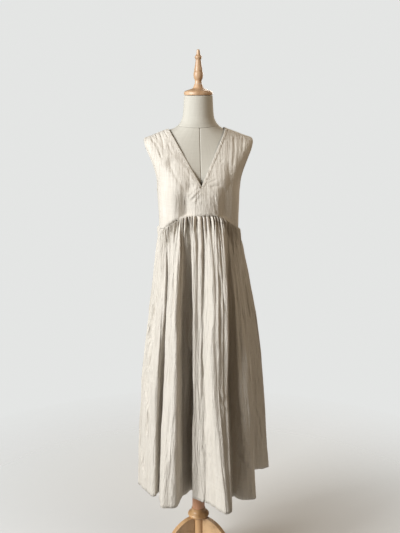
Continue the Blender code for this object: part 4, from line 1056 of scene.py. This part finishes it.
def fall_curve(drop, sections):
    """The cloth's smooth line down through its place in each section."""
    knots = np.array([0.0, UPPER_DROP, MIDDLE_DROP, 1.0])
    runs = [(b - a) / step for a, b, step in zip(sections[:-1], sections[1:], np.diff(knots))]
    slopes = [runs[0] * WAIST_SPREAD]
    for k in (0, 1):
        before, after = knots[k + 1] - knots[k], knots[k + 2] - knots[k + 1]
        slopes.append((runs[k] * after + runs[k + 1] * before) / (before + after))
    slopes.append(runs[2])
    plan = np.zeros(sections[0].shape)
    for k in range(3):
        step = knots[k + 1] - knots[k]
        t = np.clip((drop - knots[k]) / step, 0.0, 1.0)[..., None]
        part = (sections[k] * (2.0 * t ** 3 - 3.0 * t ** 2 + 1.0)
                + slopes[k] * step * (t ** 3 - 2.0 * t ** 2 + t)
                + sections[k + 1] * (3.0 * t ** 2 - 2.0 * t ** 3)
                + slopes[k + 1] * step * (t ** 3 - t ** 2))
        inside = (drop >= knots[k]) if k == 0 else (drop > knots[k])
        plan = np.where(inside[..., None], part, plan)
    return plan


def skirt_base(degrees, drop):
    """Points of the skirt without its gathers, drop running from 0 at the waist to 1."""
    wrapped = (degrees + 180.0) % 360.0 - 180.0
    waist = bodice_point(np.full(wrapped.shape, WAIST_RING), wrapped)
    step = bodice_point(np.full(wrapped.shape, WAIST_RING), wrapped + 0.5)
    step = step - bodice_point(np.full(wrapped.shape, WAIST_RING), wrapped - 0.5)
    normal = np.stack([step[..., 1], -step[..., 0]], axis=-1)
    normal = normal / np.linalg.norm(normal, axis=-1, keepdims=True)
    flat = waist[..., :2] + normal * CLOTH
    upper, _ = section_plan(0, degrees)
    middle, _ = section_plan(1, degrees)
    hem, nearest = section_plan(2, degrees)
    plan = fall_curve(drop, (flat, upper, middle, hem))
    wrapped = (degrees - led_angles[0]) % 360.0 + led_angles[0]
    rise = np.interp(wrapped, led_angles, led_rises) * np.exp(-(nearest / LED_SPREAD) ** 2)
    z = waist[..., 2] + (HEM_Z + rise - waist[..., 2]) * drop
    reach = form_reach(plan[..., 0], plan[..., 1], z) + FORM_GAP
    span = np.linalg.norm(plan, axis=-1)
    grow = np.where((drop > 0.0) & (span < reach), reach / span, 1.0)
    return np.concatenate([plan * grow[..., None], z[..., None]], axis=-1)


def skirt_normal(degrees, drop):
    """Level outward directions of the skirt without its gathers."""
    along = skirt_base(degrees + 0.6, drop) - skirt_base(degrees - 0.6, drop)
    normal = np.stack([along[..., 1], -along[..., 0], np.zeros(drop.shape)], axis=-1)
    return normal / np.linalg.norm(normal, axis=-1, keepdims=True)


def pleat_relief(degrees, drop):
    """Inward depth of the pleats that die out down the skirt."""
    relief = np.zeros(degrees.shape)
    for waist, hem, depth, narrow, wide, length in PLEATS:
        away = (degrees - waist - (hem - waist) * drop + 180.0) % 360.0 - 180.0
        width = narrow + (wide - narrow) * np.clip(drop / length, 0.0, 1.0)
        fade = np.clip(1.0 - drop / length, 0.0, 1.0) ** 0.8
        grow = np.clip(0.35 + drop / 0.03, 0.0, 1.0)
        relief += depth * np.exp(-0.5 * (away / width) ** 2) * fade * grow
    return relief


# Long soft creases and short sharp ones. Each runs through places given by the angle at the
# waist and the drop, and has a depth and a half width. Its name starts with its fold.
SKIRT_CREASES = {
    "front": (
        ("c hem slant", ((-1.5, 0.785), (2.0, 0.82), (5.0, 0.85), (7.5, 0.885)), 0.0042, 0.0042),
        ("c curl", ((3.0, 0.725), (5.0, 0.74), (4.0, 0.765)), 0.0026, 0.0036),
        ("c right wrinkle", ((14.5, 0.59), (17.5, 0.615), (19.5, 0.625)), 0.0026, 0.0038),
        ("c right wrinkle low", ((15.5, 0.64), (18.5, 0.655)), 0.0016, 0.0034),
        ("c upper streak", ((3.5, 0.38), (4.5, 0.44)), 0.0020, 0.0034),
        ("c left streak", ((0.5, 0.42), (0.0, 0.47), (1.5, 0.53)), 0.0022, 0.0036),
        ("c left low", ((-2.0, 0.60), (-1.0, 0.68), (0.5, 0.77)), 0.0018, 0.0050),
        ("c hem pucker a", ((0.0, 0.925), (0.5, 0.965), (-1.0, 1.00)), 0.0016, 0.0026),
        ("c hem pucker b", ((2.5, 0.935), (2.0, 1.00)), 0.0014, 0.0024),
        ("c hem pucker c", ((4.5, 0.945), (4.0, 1.00)), 0.0012, 0.0024),
        ("c flank streak", ((12.5, 0.145), (14.5, 0.19), (17.5, 0.25), (20.5, 0.30)), 0.0016, 0.0044),
        ("c middle long", ((10.5, 0.42), (11.5, 0.54), (13.0, 0.66)), 0.0020, 0.0060),
        ("a hem slant", ((-86.0, 0.85), (-82.5, 0.91), (-77.0, 0.945)), 0.0060, 0.0042),
        ("a bar high", ((-87.5, 0.52), (-76.5, 0.535)), 0.0040, 0.0034),
        ("a bar low", ((-85.0, 0.56), (-70.0, 0.545)), 0.0036, 0.0034),
        ("a strip", ((-86.0, 0.375), (-79.5, 0.43), (-78.5, 0.51)), 0.0088, 0.0072),
        ("a trough", ((-84.0, 0.59), (-73.5, 0.68), (-77.0, 0.76)), 0.0076, 0.0068),
        ("a upper strip", ((-71.5, 0.215), (-80.5, 0.27), (-84.5, 0.33), (-85.0, 0.40)), 0.0076, 0.0060),
        ("a low streak", ((-68.5, 0.78), (-67.0, 0.86)), 0.0034, 0.0044),
        ("b patch", ((-36.0, 0.395), (-35.0, 0.44), (-37.0, 0.485), (-37.5, 0.545)), 0.0020, 0.0048),
        ("b line", ((-38.5, 0.295), (-35.0, 0.34), (-36.0, 0.40)), 0.0026, 0.0036),
        ("b wave", ((-34.5, 0.15), (-32.5, 0.225), (-33.5, 0.305)), 0.0034, 0.0044),
        ("b flank low", ((-33.0, 0.64), (-34.5, 0.74), (-33.5, 0.82)), 0.0024, 0.0060),
        ("d slant low", ((34.5, 0.785), (39.0, 0.84), (43.5, 0.885)), 0.0036, 0.0044),
        ("d slant high", ((36.0, 0.745), (41.5, 0.77), (45.5, 0.81)), 0.0030, 0.0042),
        ("d short", ((39.0, 0.645), (41.5, 0.68)), 0.0024, 0.0036),
        ("d upper", ((42.5, 0.13), (50.5, 0.145)), 0.0018, 0.0036),
        ("d streak", ((47.0, 0.30), (48.5, 0.45), (48.0, 0.56)), 0.0026, 0.0050),
        ("e fold over", ((77.0, 0.71), (83.5, 0.725), (86.5, 0.75)), 0.0032, 0.0040),
        ("e below it", ((77.0, 0.74), (80.0, 0.785), (80.5, 0.85)), 0.0030, 0.0044),
        ("right edge line", ((71.0, 0.03), (75.5, 0.095), (79.0, 0.19), (80.5, 0.35)), 0.0046, 0.0042),
    ),
    "back": (
        ("e back slant", ((97.0, 0.76), (100.0, 0.82), (104.0, 0.86)), 0.0036, 0.0046),
        ("f strip", ((120.0, 0.30), (122.0, 0.40), (121.0, 0.52)), 0.0040, 0.0070),
        ("f hem slant", ((117.0, 0.83), (121.0, 0.88), (126.0, 0.92)), 0.0034, 0.0042),
        ("f curl", ((127.0, 0.64), (129.0, 0.66), (128.0, 0.69)), 0.0026, 0.0036),
        ("g long", ((150.0, 0.36), (153.0, 0.48), (152.0, 0.61)), 0.0030, 0.0060),
        ("g slant", ((156.0, 0.72), (160.0, 0.77), (164.0, 0.79)), 0.0030, 0.0044),
        ("g bar", ((154.0, 0.545), (161.0, 0.555)), 0.0022, 0.0036),
        ("h streak", ((184.0, 0.42), (186.0, 0.54)), 0.0026, 0.0050),
        ("h slant", ((182.0, 0.80), (187.0, 0.85), (191.0, 0.89)), 0.0036, 0.0044),
        ("h wrinkle", ((192.0, 0.61), (195.0, 0.63)), 0.0024, 0.0036),
        ("i strip", ((217.0, 0.34), (219.0, 0.46), (218.0, 0.58)), 0.0038, 0.0065),
        ("i slant", ((222.0, 0.74), (226.0, 0.80), (230.0, 0.84)), 0.0032, 0.0044),
        ("i hem pucker", ((220.0, 0.935), (221.0, 1.00)), 0.0014, 0.0026),
        ("a back strip", ((262.0, 0.32), (260.0, 0.44), (262.0, 0.56)), 0.0040, 0.0070),
        ("a back slant", ((255.0, 0.78), (259.0, 0.84)), 0.0032, 0.0044),
    ),
}


def skirt_points(start, seed):
    """Outer face of a panel, with each place's share across the cut cloth and its drop."""
    fine = start + np.linspace(0.0, 180.0, 1801)
    middle, _ = section_plan(1, fine)
    spread = lengths_along(middle)
    spread = 0.5 * spread / spread[-1] + 0.5 * np.linspace(0.0, 1.0, 1801)
    cut = np.linspace(0.0, 1.0, SKIRT_COLUMNS + 1)
    drop = np.concatenate([np.linspace(0.0, FINE_DROP, FINE_ROWS + 1)[:-1],
                           np.linspace(FINE_DROP, 1.0, SKIRT_ROWS - FINE_ROWS + 1)])
    drop_grid, cut_grid = np.meshgrid(drop, cut, indexing="ij")
    degrees = np.interp(cut_grid, spread, fine)
    share_grid = (degrees - start) / 180.0
    base = skirt_base(degrees, drop_grid)
    normal = skirt_normal(degrees, drop_grid)
    relief = -pleat_relief(degrees, drop_grid)
    turned = np.abs((degrees + 180.0) % 360.0 - 180.0)
    tight = 1.0 + TIGHT_MORE * np.exp(-((turned - TIGHT_ANGLE) / TIGHT_SPREAD) ** 2)
    relief += tight * pleat_row(share_grid, drop_grid, GATHERS, seed, *GATHER_SIZES)
    for count, shift, *sizes in PLEAT_ROWS:
        relief += pleat_row(share_grid, drop_grid, count, seed + shift, *sizes)
    edge = np.clip(np.minimum(share_grid, 1.0 - share_grid) / SIDE_SHARE, 0.0, 1.0)
    for _, line, depth, width in SKIRT_CREASES["front" if start < 0.0 else "back"]:
        knots = np.array([skirt_base(np.array([a]), np.array([d]))[0] for a, d in line])
        press(relief, distance_to_line(base, knots), depth, width, SKIRT_LIP)
    cut_places = np.stack([cut_grid, drop_grid, np.full(drop_grid.shape, float(seed))], axis=-1)
    small = crumple(base, SKIRT_CRUMPLES) + crumple(cut_places, CUT_CRUMPLES)
    relief += small * np.clip(drop_grid / CRUMPLE_DROP, 0.0, 1.0)
    facing = -0.15 + 1.15 * np.abs(np.cos(np.radians(degrees))) ** 0.9
    puff = (1.0 - np.exp(-drop_grid / PUFF_RISE)) * np.exp(-drop_grid / PUFF_FADE)
    relief += GATHER_PUFF * facing * puff
    length = base[0, :, 2] - base[-1, :, 2]
    above_hem = (1.0 - drop_grid) * length[None, :]
    steepness = np.clip((above_hem - HEM_DEPTH) / HEM_SOFTNESS, -HEM_STEEPEST, HEM_STEEPEST)
    relief += HEM_STEP / (1.0 + np.exp(steepness))
    relief -= HEM_CREASE * np.exp(-((above_hem - HEM_DEPTH) / HEM_CREASE_SPREAD) ** 2)
    relief *= edge
    relief += -SEAM_PULL * (1.0 - edge) - TUCK * np.clip(1.0 - drop_grid / TUCK_DROP, 0.0, 1.0)
    points = base + normal * relief[..., None]
    upper_rows = drop < HIP_DROP
    points[upper_rows] = clear_of_form(points[upper_rows], THIN_CLOTH + FORM_ROOM)
    points[..., 2] += EDGE_LIFT * np.clip(1.0 - drop_grid / EDGE_DROP, 0.0, 1.0) - PANEL_DROP
    tangent = np.stack([-normal[..., 1], normal[..., 0], np.zeros(edge.shape)], axis=-1)
    points[:, 0] += tangent[:, 0] * SEAM_GAP
    points[:, -1] -= tangent[:, -1] * SEAM_GAP
    return points, cut_grid, drop_grid


washed_linen = cloth_finish("washed linen of the skirt", LINEN_THREAD, LINEN_SHADE,
                            0.0012, 0.88, 0.0004, 0.0065)
SKIRT_CUT = (1.12, 1.03)
skirt_points_by_panel = {}
for name, start, seed in (("front", -90.0, 3), ("back", 90.0, 5)):
    points, cut_grid, drop_grid = skirt_points(start, seed)
    faces = quads(np.arange(cut_grid.size).reshape(cut_grid.shape))
    uv = np.stack([cut_grid * SKIRT_CUT[0], -drop_grid * SKIRT_CUT[1]], axis=-1).reshape(-1, 2)
    skirt = mesh_piece("linen_skirt_" + name, points.reshape(-1, 3), faces, washed_linen, uv)
    thicken(skirt, THIN_CLOTH)
    hand_over(skirt, "linen", "skirt_" + name)
    skirt_points_by_panel[name] = points


# The bindings. A narrow bias strip of the linen round the neckline and round each
# armhole, turned over the raw edge and stitched down, so it puckers a little.

BINDING_WIDTH = 0.009
BINDING_STEP = 0.0022
BINDING_LEAST = 0.0004     # places nearer together than this count as one
BINDING_PROFILE = (
    # share of the width from the folded edge, height over the panel
    (0.00, 0.00030), (0.06, 0.00062), (0.25, 0.00080), (0.55, 0.00078),
    (0.80, 0.00064), (0.94, 0.00050), (1.00, 0.00030),
)
BINDING_PUCKER = 0.00022
BINDING_UNDER = 0.00012    # gap to the panel beneath
BINDINGS = {
    # the panel halves that a binding runs along, with the edge and whether it runs up it
    "neck_binding": (("front", 0, "neck", False), ("front", 1, "neck", True),
                     ("back", 1, "neck", False), ("back", 0, "neck", True)),
    "armhole_binding_left": (("front", 0, "arm", False), ("back", 0, "arm", True)),
    "armhole_binding_right": (("front", 1, "arm", False), ("back", 1, "arm", True)),
}


def binding_line(part, half, kind, upward):
    """Edge of a panel half, its outward directions and the directions into the cloth."""
    points, normals = panels[part][half]
    last, column, inner = (NECK_ROW[part], 0, 5) if kind == "neck" else (UNDERARM_ROW[part], -1, -6)
    edge, normal, inside = points[:last + 1, column], normals[:last + 1, column], points[:last + 1, inner]
    values = np.stack([edge, normal, inside - edge])
    return values[:, ::-1] if upward else values


def binding_path(lines):
    """Evenly spaced places round a closed edge with the directions out of the cloth and
    into it, each place's length along the edge, and the edge's whole length."""
    edge, normal, inward = np.concatenate([binding_line(*line) for line in lines], axis=1)
    keep = np.linalg.norm(edge - np.roll(edge, 1, axis=0), axis=1) > BINDING_LEAST
    edge, normal, inward = edge[keep], normal[keep], inward[keep]
    lengths = lengths_along(np.vstack([edge, edge[:1]]))
    count = int(lengths[-1] / BINDING_STEP)
    places = np.arange(count) * lengths[-1] / count

    def along(values):
        closed = np.vstack([values, values[:1]])
        return np.stack([np.interp(places, lengths, closed[:, k]) for k in range(3)], axis=1)

    edge_line = along(edge)
    normal_line = along(normal)
    normal_line /= np.linalg.norm(normal_line, axis=1, keepdims=True)
    tangent = np.roll(edge_line, -1, axis=0) - np.roll(edge_line, 1, axis=0)
    tangent /= np.linalg.norm(tangent, axis=1, keepdims=True)
    into = np.cross(normal_line, tangent)
    into *= np.sign((into * along(inward)).sum(axis=1, keepdims=True))
    into /= np.linalg.norm(into, axis=1, keepdims=True)
    return edge_line, normal_line, into, places, lengths[-1]


bodice_corners = []
bodice_faces = []
for points, _ in panels["front"] + panels["back"]:
    numbers = len(bodice_corners) + np.arange(points[..., 0].size).reshape(points.shape[:2])
    bodice_corners += [Vector(p) for p in points.reshape(-1, 3)]
    bodice_faces += quads(numbers)
bodice_tree = BVHTree.FromPolygons(bodice_corners, bodice_faces)


def lay_on_bodice(point, way, height):
    """The place on the bodice's outer face nearest a point, raised by a height."""
    spot, normal, _, _ = bodice_tree.find_nearest(Vector(point))
    lifted = np.array(normal)
    if lifted @ way < 0.0:
        lifted = -lifted
    return np.array(spot) + lifted * height


stitch_lines = {}
for seed, (node, lines) in enumerate(BINDINGS.items(), 11):
    edge_line, normal_line, into, places, total = binding_path(lines)
    pucker = np.random.default_rng(seed)
    wave = sum(a * np.sin(2.0 * np.pi * (places / total * k + p))
               for a, k, p in zip(pucker.uniform(0.4, 1.0, 7),
                                  pucker.integers(int(total / 0.016), int(total / 0.007), 7),
                                  pucker.uniform(0.0, 1.0, 7)))
    wave = wave / np.abs(wave).max()
    rings = []
    for spot, way, inward, swell in zip(edge_line, normal_line, into, wave):
        reach = BINDING_WIDTH
        if node == "neck_binding" and inward[0] * spot[0] < 0.0 and spot[1] < 0.0:
            reach = min(reach, abs(spot[0] / inward[0]))      # the mitre at the tip of the V
        over = []
        under = []
        for across, height in BINDING_PROFILE:
            seat = spot + inward * reach * across
            crease = BINDING_PUCKER * swell * math.sin(math.pi * min(across * 1.15, 1.0))
            over.append(lay_on_bodice(seat, way, height + crease))
            under.append(lay_on_bodice(seat, way, BINDING_UNDER))
        rings.append(over + under[::-1])
    rings = np.array(rings)
    faces = quads(np.pad(np.arange(rings[..., 0].size).reshape(rings.shape[:2]), (0, 1), mode="wrap"))
    across_uv = [a for a, _ in BINDING_PROFILE]
    uv = np.array([[place * 0.7 + a * BINDING_WIDTH, place * 0.7 - a * BINDING_WIDTH]
                   for place in places for a in across_uv + across_uv[::-1]])
    strip = mesh_piece("linen_" + node, rings.reshape(-1, 3), faces, linen, uv)
    hand_over(strip, "linen", node)
    stitch_lines[node] = rings[:, 4]


# The stitching. Short machine stitches in linen thread a little darker than the cloth
# hold the bindings down along their inner edge and the turned-up hem 80 mm above its fold.

STITCH_PITCH = 0.0036
STITCH_LENGTH = 0.0027
STITCH_WIDTH = 0.0007
STITCH_SEED = 17
HEM_MARGIN = 0.002         # from the turned-up edge to its stitches

thread, _, add, join = new_finish("linen thread", 0.80)
spot = add("ShaderNodeTexCoord").outputs["Object"]
twist = add("ShaderNodeTexNoise", {"Vector": spot}, Scale=1400.0, Detail=2.0).outputs["Fac"]
join(colour_ramp(add, twist, ((0.35, (0.36, 0.32, 0.26)), (0.65, (0.52, 0.47, 0.39)))), "Base Color")
join(add("ShaderNodeBump", {"Height": twist}, Strength=0.5, Distance=0.0002).outputs[0], "Normal")

stitching = bpy.data.node_groups.new("row of stitches", "GeometryNodeTree")
stitching.interface.new_socket("Geometry", in_out="INPUT", socket_type="NodeSocketGeometry")
stitch_sizes = {"Pitch": STITCH_PITCH, "Length": STITCH_LENGTH,
                "Width": STITCH_WIDTH, "Seed": STITCH_SEED}
for label, size in stitch_sizes.items():
    kind = "NodeSocketInt" if label == "Seed" else "NodeSocketFloat"
    stitching.interface.new_socket(label, in_out="INPUT", socket_type=kind).default_value = size
stitching.interface.new_socket("Geometry", in_out="OUTPUT", socket_type="NodeSocketGeometry")
add = node_adder(stitching)
given = add("NodeGroupInput").outputs
path = add("GeometryNodeMeshToCurve", {"Mesh": given["Geometry"]})
spaced = add("GeometryNodeResampleCurve", {"Curve": path.outputs["Curve"], "Length": given["Pitch"]},
             mode="LENGTH")
tangent = add("GeometryNodeInputTangent")
turned = add("FunctionNodeAlignRotationToVector", {"Vector": tangent.outputs["Tangent"]}, axis="X")
bead = add("GeometryNodeMeshUVSphere", Segments=6, Rings=4, Radius=0.5)
size = add("ShaderNodeCombineXYZ", {0: given["Length"], 1: given["Width"], 2: given["Width"]})
uneven = add("FunctionNodeRandomValue", {"Seed": given["Seed"]})
uneven.inputs[2].default_value = 0.86
uneven.inputs[3].default_value = 1.08
grown = add("ShaderNodeVectorMath", {0: size.outputs[0], "Scale": uneven.outputs[1]}, operation="SCALE")
sewn = add("GeometryNodeInstanceOnPoints", {
    "Points": spaced.outputs["Curve"], "Instance": bead.outputs["Mesh"],
    "Rotation": turned.outputs["Rotation"], "Scale": grown.outputs[0]})
smooth = add("GeometryNodeSetShadeSmooth", {"Geometry": sewn.outputs["Instances"]})
real = add("GeometryNodeRealizeInstances", {"Geometry": smooth.outputs["Geometry"]})
dyed = add("GeometryNodeSetMaterial", {"Geometry": real.outputs["Geometry"]}, Material=thread)
add("NodeGroupOutput", {"Geometry": dyed.outputs["Geometry"]})
stitch_sockets = {item.name: item.identifier for item in stitching.interface.items_tree
                  if item.in_out == "INPUT"}


def sew(name, line, closed):
    """A row of stitches along a line of places on the cloth's face."""
    count = len(line)
    guide = bpy.data.meshes.new(name)
    edges = [(k, (k + 1) % count) for k in range(count if closed else count - 1)]
    guide.from_pydata((line + AXIS).tolist(), edges, [])
    row = put_in_scene(name, guide)
    sewing = row.modifiers.new("stitches", "NODES")
    sewing.node_group = stitching
    for label, value in stitch_sizes.items():
        sewing[stitch_sockets[label]] = value
    made = row.evaluated_get(bpy.context.evaluated_depsgraph_get())
    mesh = bpy.data.meshes.new_from_object(made)
    row.modifiers.remove(sewing)
    row.data = mesh
    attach(row, "root")


for name, line in stitch_lines.items():
    sew("stitching_" + name, line, True)

for name, points in skirt_points_by_panel.items():
    rise = np.linalg.norm(np.diff(points[::-1], axis=0), axis=-1)
    rise = np.concatenate([np.zeros((1, points.shape[1])), np.cumsum(rise, axis=0)])
    upward = points[::-1]
    line = np.array([[np.interp(HEM_DEPTH - HEM_MARGIN, rise[:, k], upward[:, k, axis])
                      for axis in range(3)] for k in range(2, points.shape[1] - 2)])
    sew("stitching_hem_" + name, line, False)


# Camera, floor and light. A plain pale floor fades into the background. A wide cool light
# stands on the left, a weak warm one on the right and a warm one behind, and the room's own
# light is warm and dim.

CAMERA_TURN = math.radians(-5.0)
CAMERA_TILT = math.radians(13.33)
CAMERA_AWAY = 2.58
CAMERA_HEIGHT = 1.76
CAMERA_ASIDE = 0.0054
camera_data = bpy.data.cameras.new("camera")
camera_data.lens = 53.2
camera_data.sensor_width = 36.0
camera = put_in_scene("camera", camera_data)
camera.location = (
    AXIS[0] + math.sin(CAMERA_TURN) * CAMERA_AWAY + math.cos(CAMERA_TURN) * CAMERA_ASIDE,
    AXIS[1] - math.cos(CAMERA_TURN) * CAMERA_AWAY + math.sin(CAMERA_TURN) * CAMERA_ASIDE,
    CAMERA_HEIGHT)
camera.rotation_euler = (math.pi / 2.0 - CAMERA_TILT, 0.0, CAMERA_TURN)
bpy.context.scene.camera = camera

BACKGROUND = (0.79, 0.80, 0.79)
FLOOR_RADIUS = 1.7
FLOOR_SIDES = 96
FLOOR_FADE = (0.20, 1.90)
floor_finish, shader, add, _ = new_finish("pale floor", 0.9)
shader.inputs["Base Color"].default_value = (0.60, 0.60, 0.59, 1.0)
place = add("ShaderNodeTexCoord").outputs["Object"]
reach = add("ShaderNodeVectorMath", {0: place}, operation="LENGTH").outputs["Value"]
fade = add("ShaderNodeMapRange", {"Value": reach}, interpolation_type="SMOOTHSTEP",
           From_Min=FLOOR_FADE[0], From_Max=FLOOR_FADE[1])
clear = add("ShaderNodeBsdfTransparent")
blend = add("ShaderNodeMixShader", {0: fade.outputs[0], 1: shader.outputs[0], 2: clear.outputs[0]})
outlet = floor_finish.node_tree.nodes["Material Output"]
floor_finish.node_tree.links.new(blend.outputs[0], outlet.inputs["Surface"])
floor_mesh = bpy.data.meshes.new("floor")
rim = [(FLOOR_RADIUS * math.cos(a), FLOOR_RADIUS * math.sin(a), -0.0005)
       for a in np.linspace(0.0, 2.0 * math.pi, FLOOR_SIDES + 1)[:-1]]
floor_mesh.from_pydata(rim, [], [tuple(range(FLOOR_SIDES))])
floor_mesh.materials.append(floor_finish)
floor = put_in_scene("floor", floor_mesh)


def soft_light(name, place, aim, size, power, colour):
    """A wide rectangular light at a place, turned towards another."""
    data = bpy.data.lights.new(name, "AREA")
    data.shape = "RECTANGLE"
    data.size, data.size_y = size
    data.energy = power
    data.color = colour
    lamp = put_in_scene(name, data)
    lamp.location = place
    lamp.rotation_euler = (Vector(aim) - Vector(place)).to_track_quat("-Z", "Y").to_euler()


soft_light("window light", (-2.74, -1.55, 2.25), (0.0, 0.0, 0.92), (1.4, 1.9), 392.0, (0.96, 0.985, 1.0))
soft_light("fill light", (1.70, -1.00, 2.50), (0.0, 0.0, 1.40), (1.2, 1.2), 36.0, (1.0, 0.85, 0.66))
soft_light("back light", (1.30, 2.50, 2.30), (0.0, 0.0, 1.00), (1.8, 1.8), 112.0, (1.0, 0.92, 0.82))

world = bpy.data.worlds.new("studio")
bpy.context.scene.world = world
world.use_nodes = True
add = node_adder(world.node_tree)
room = add("ShaderNodeBackground", Color=(0.98, 0.71, 0.46, 1.0), Strength=0.150)
backdrop = add("ShaderNodeBackground", Color=(*BACKGROUND, 1.0), Strength=1.90)
seen = add("ShaderNodeLightPath").outputs["Is Camera Ray"]
mix = add("ShaderNodeMixShader", {0: seen, 1: room.outputs[0], 2: backdrop.outputs[0]})
world.node_tree.links.new(mix.outputs[0], world.node_tree.nodes["World Output"].inputs["Surface"])
bpy.context.scene.view_settings.view_transform = "Standard"
bpy.context.scene.view_settings.exposure = -0.95
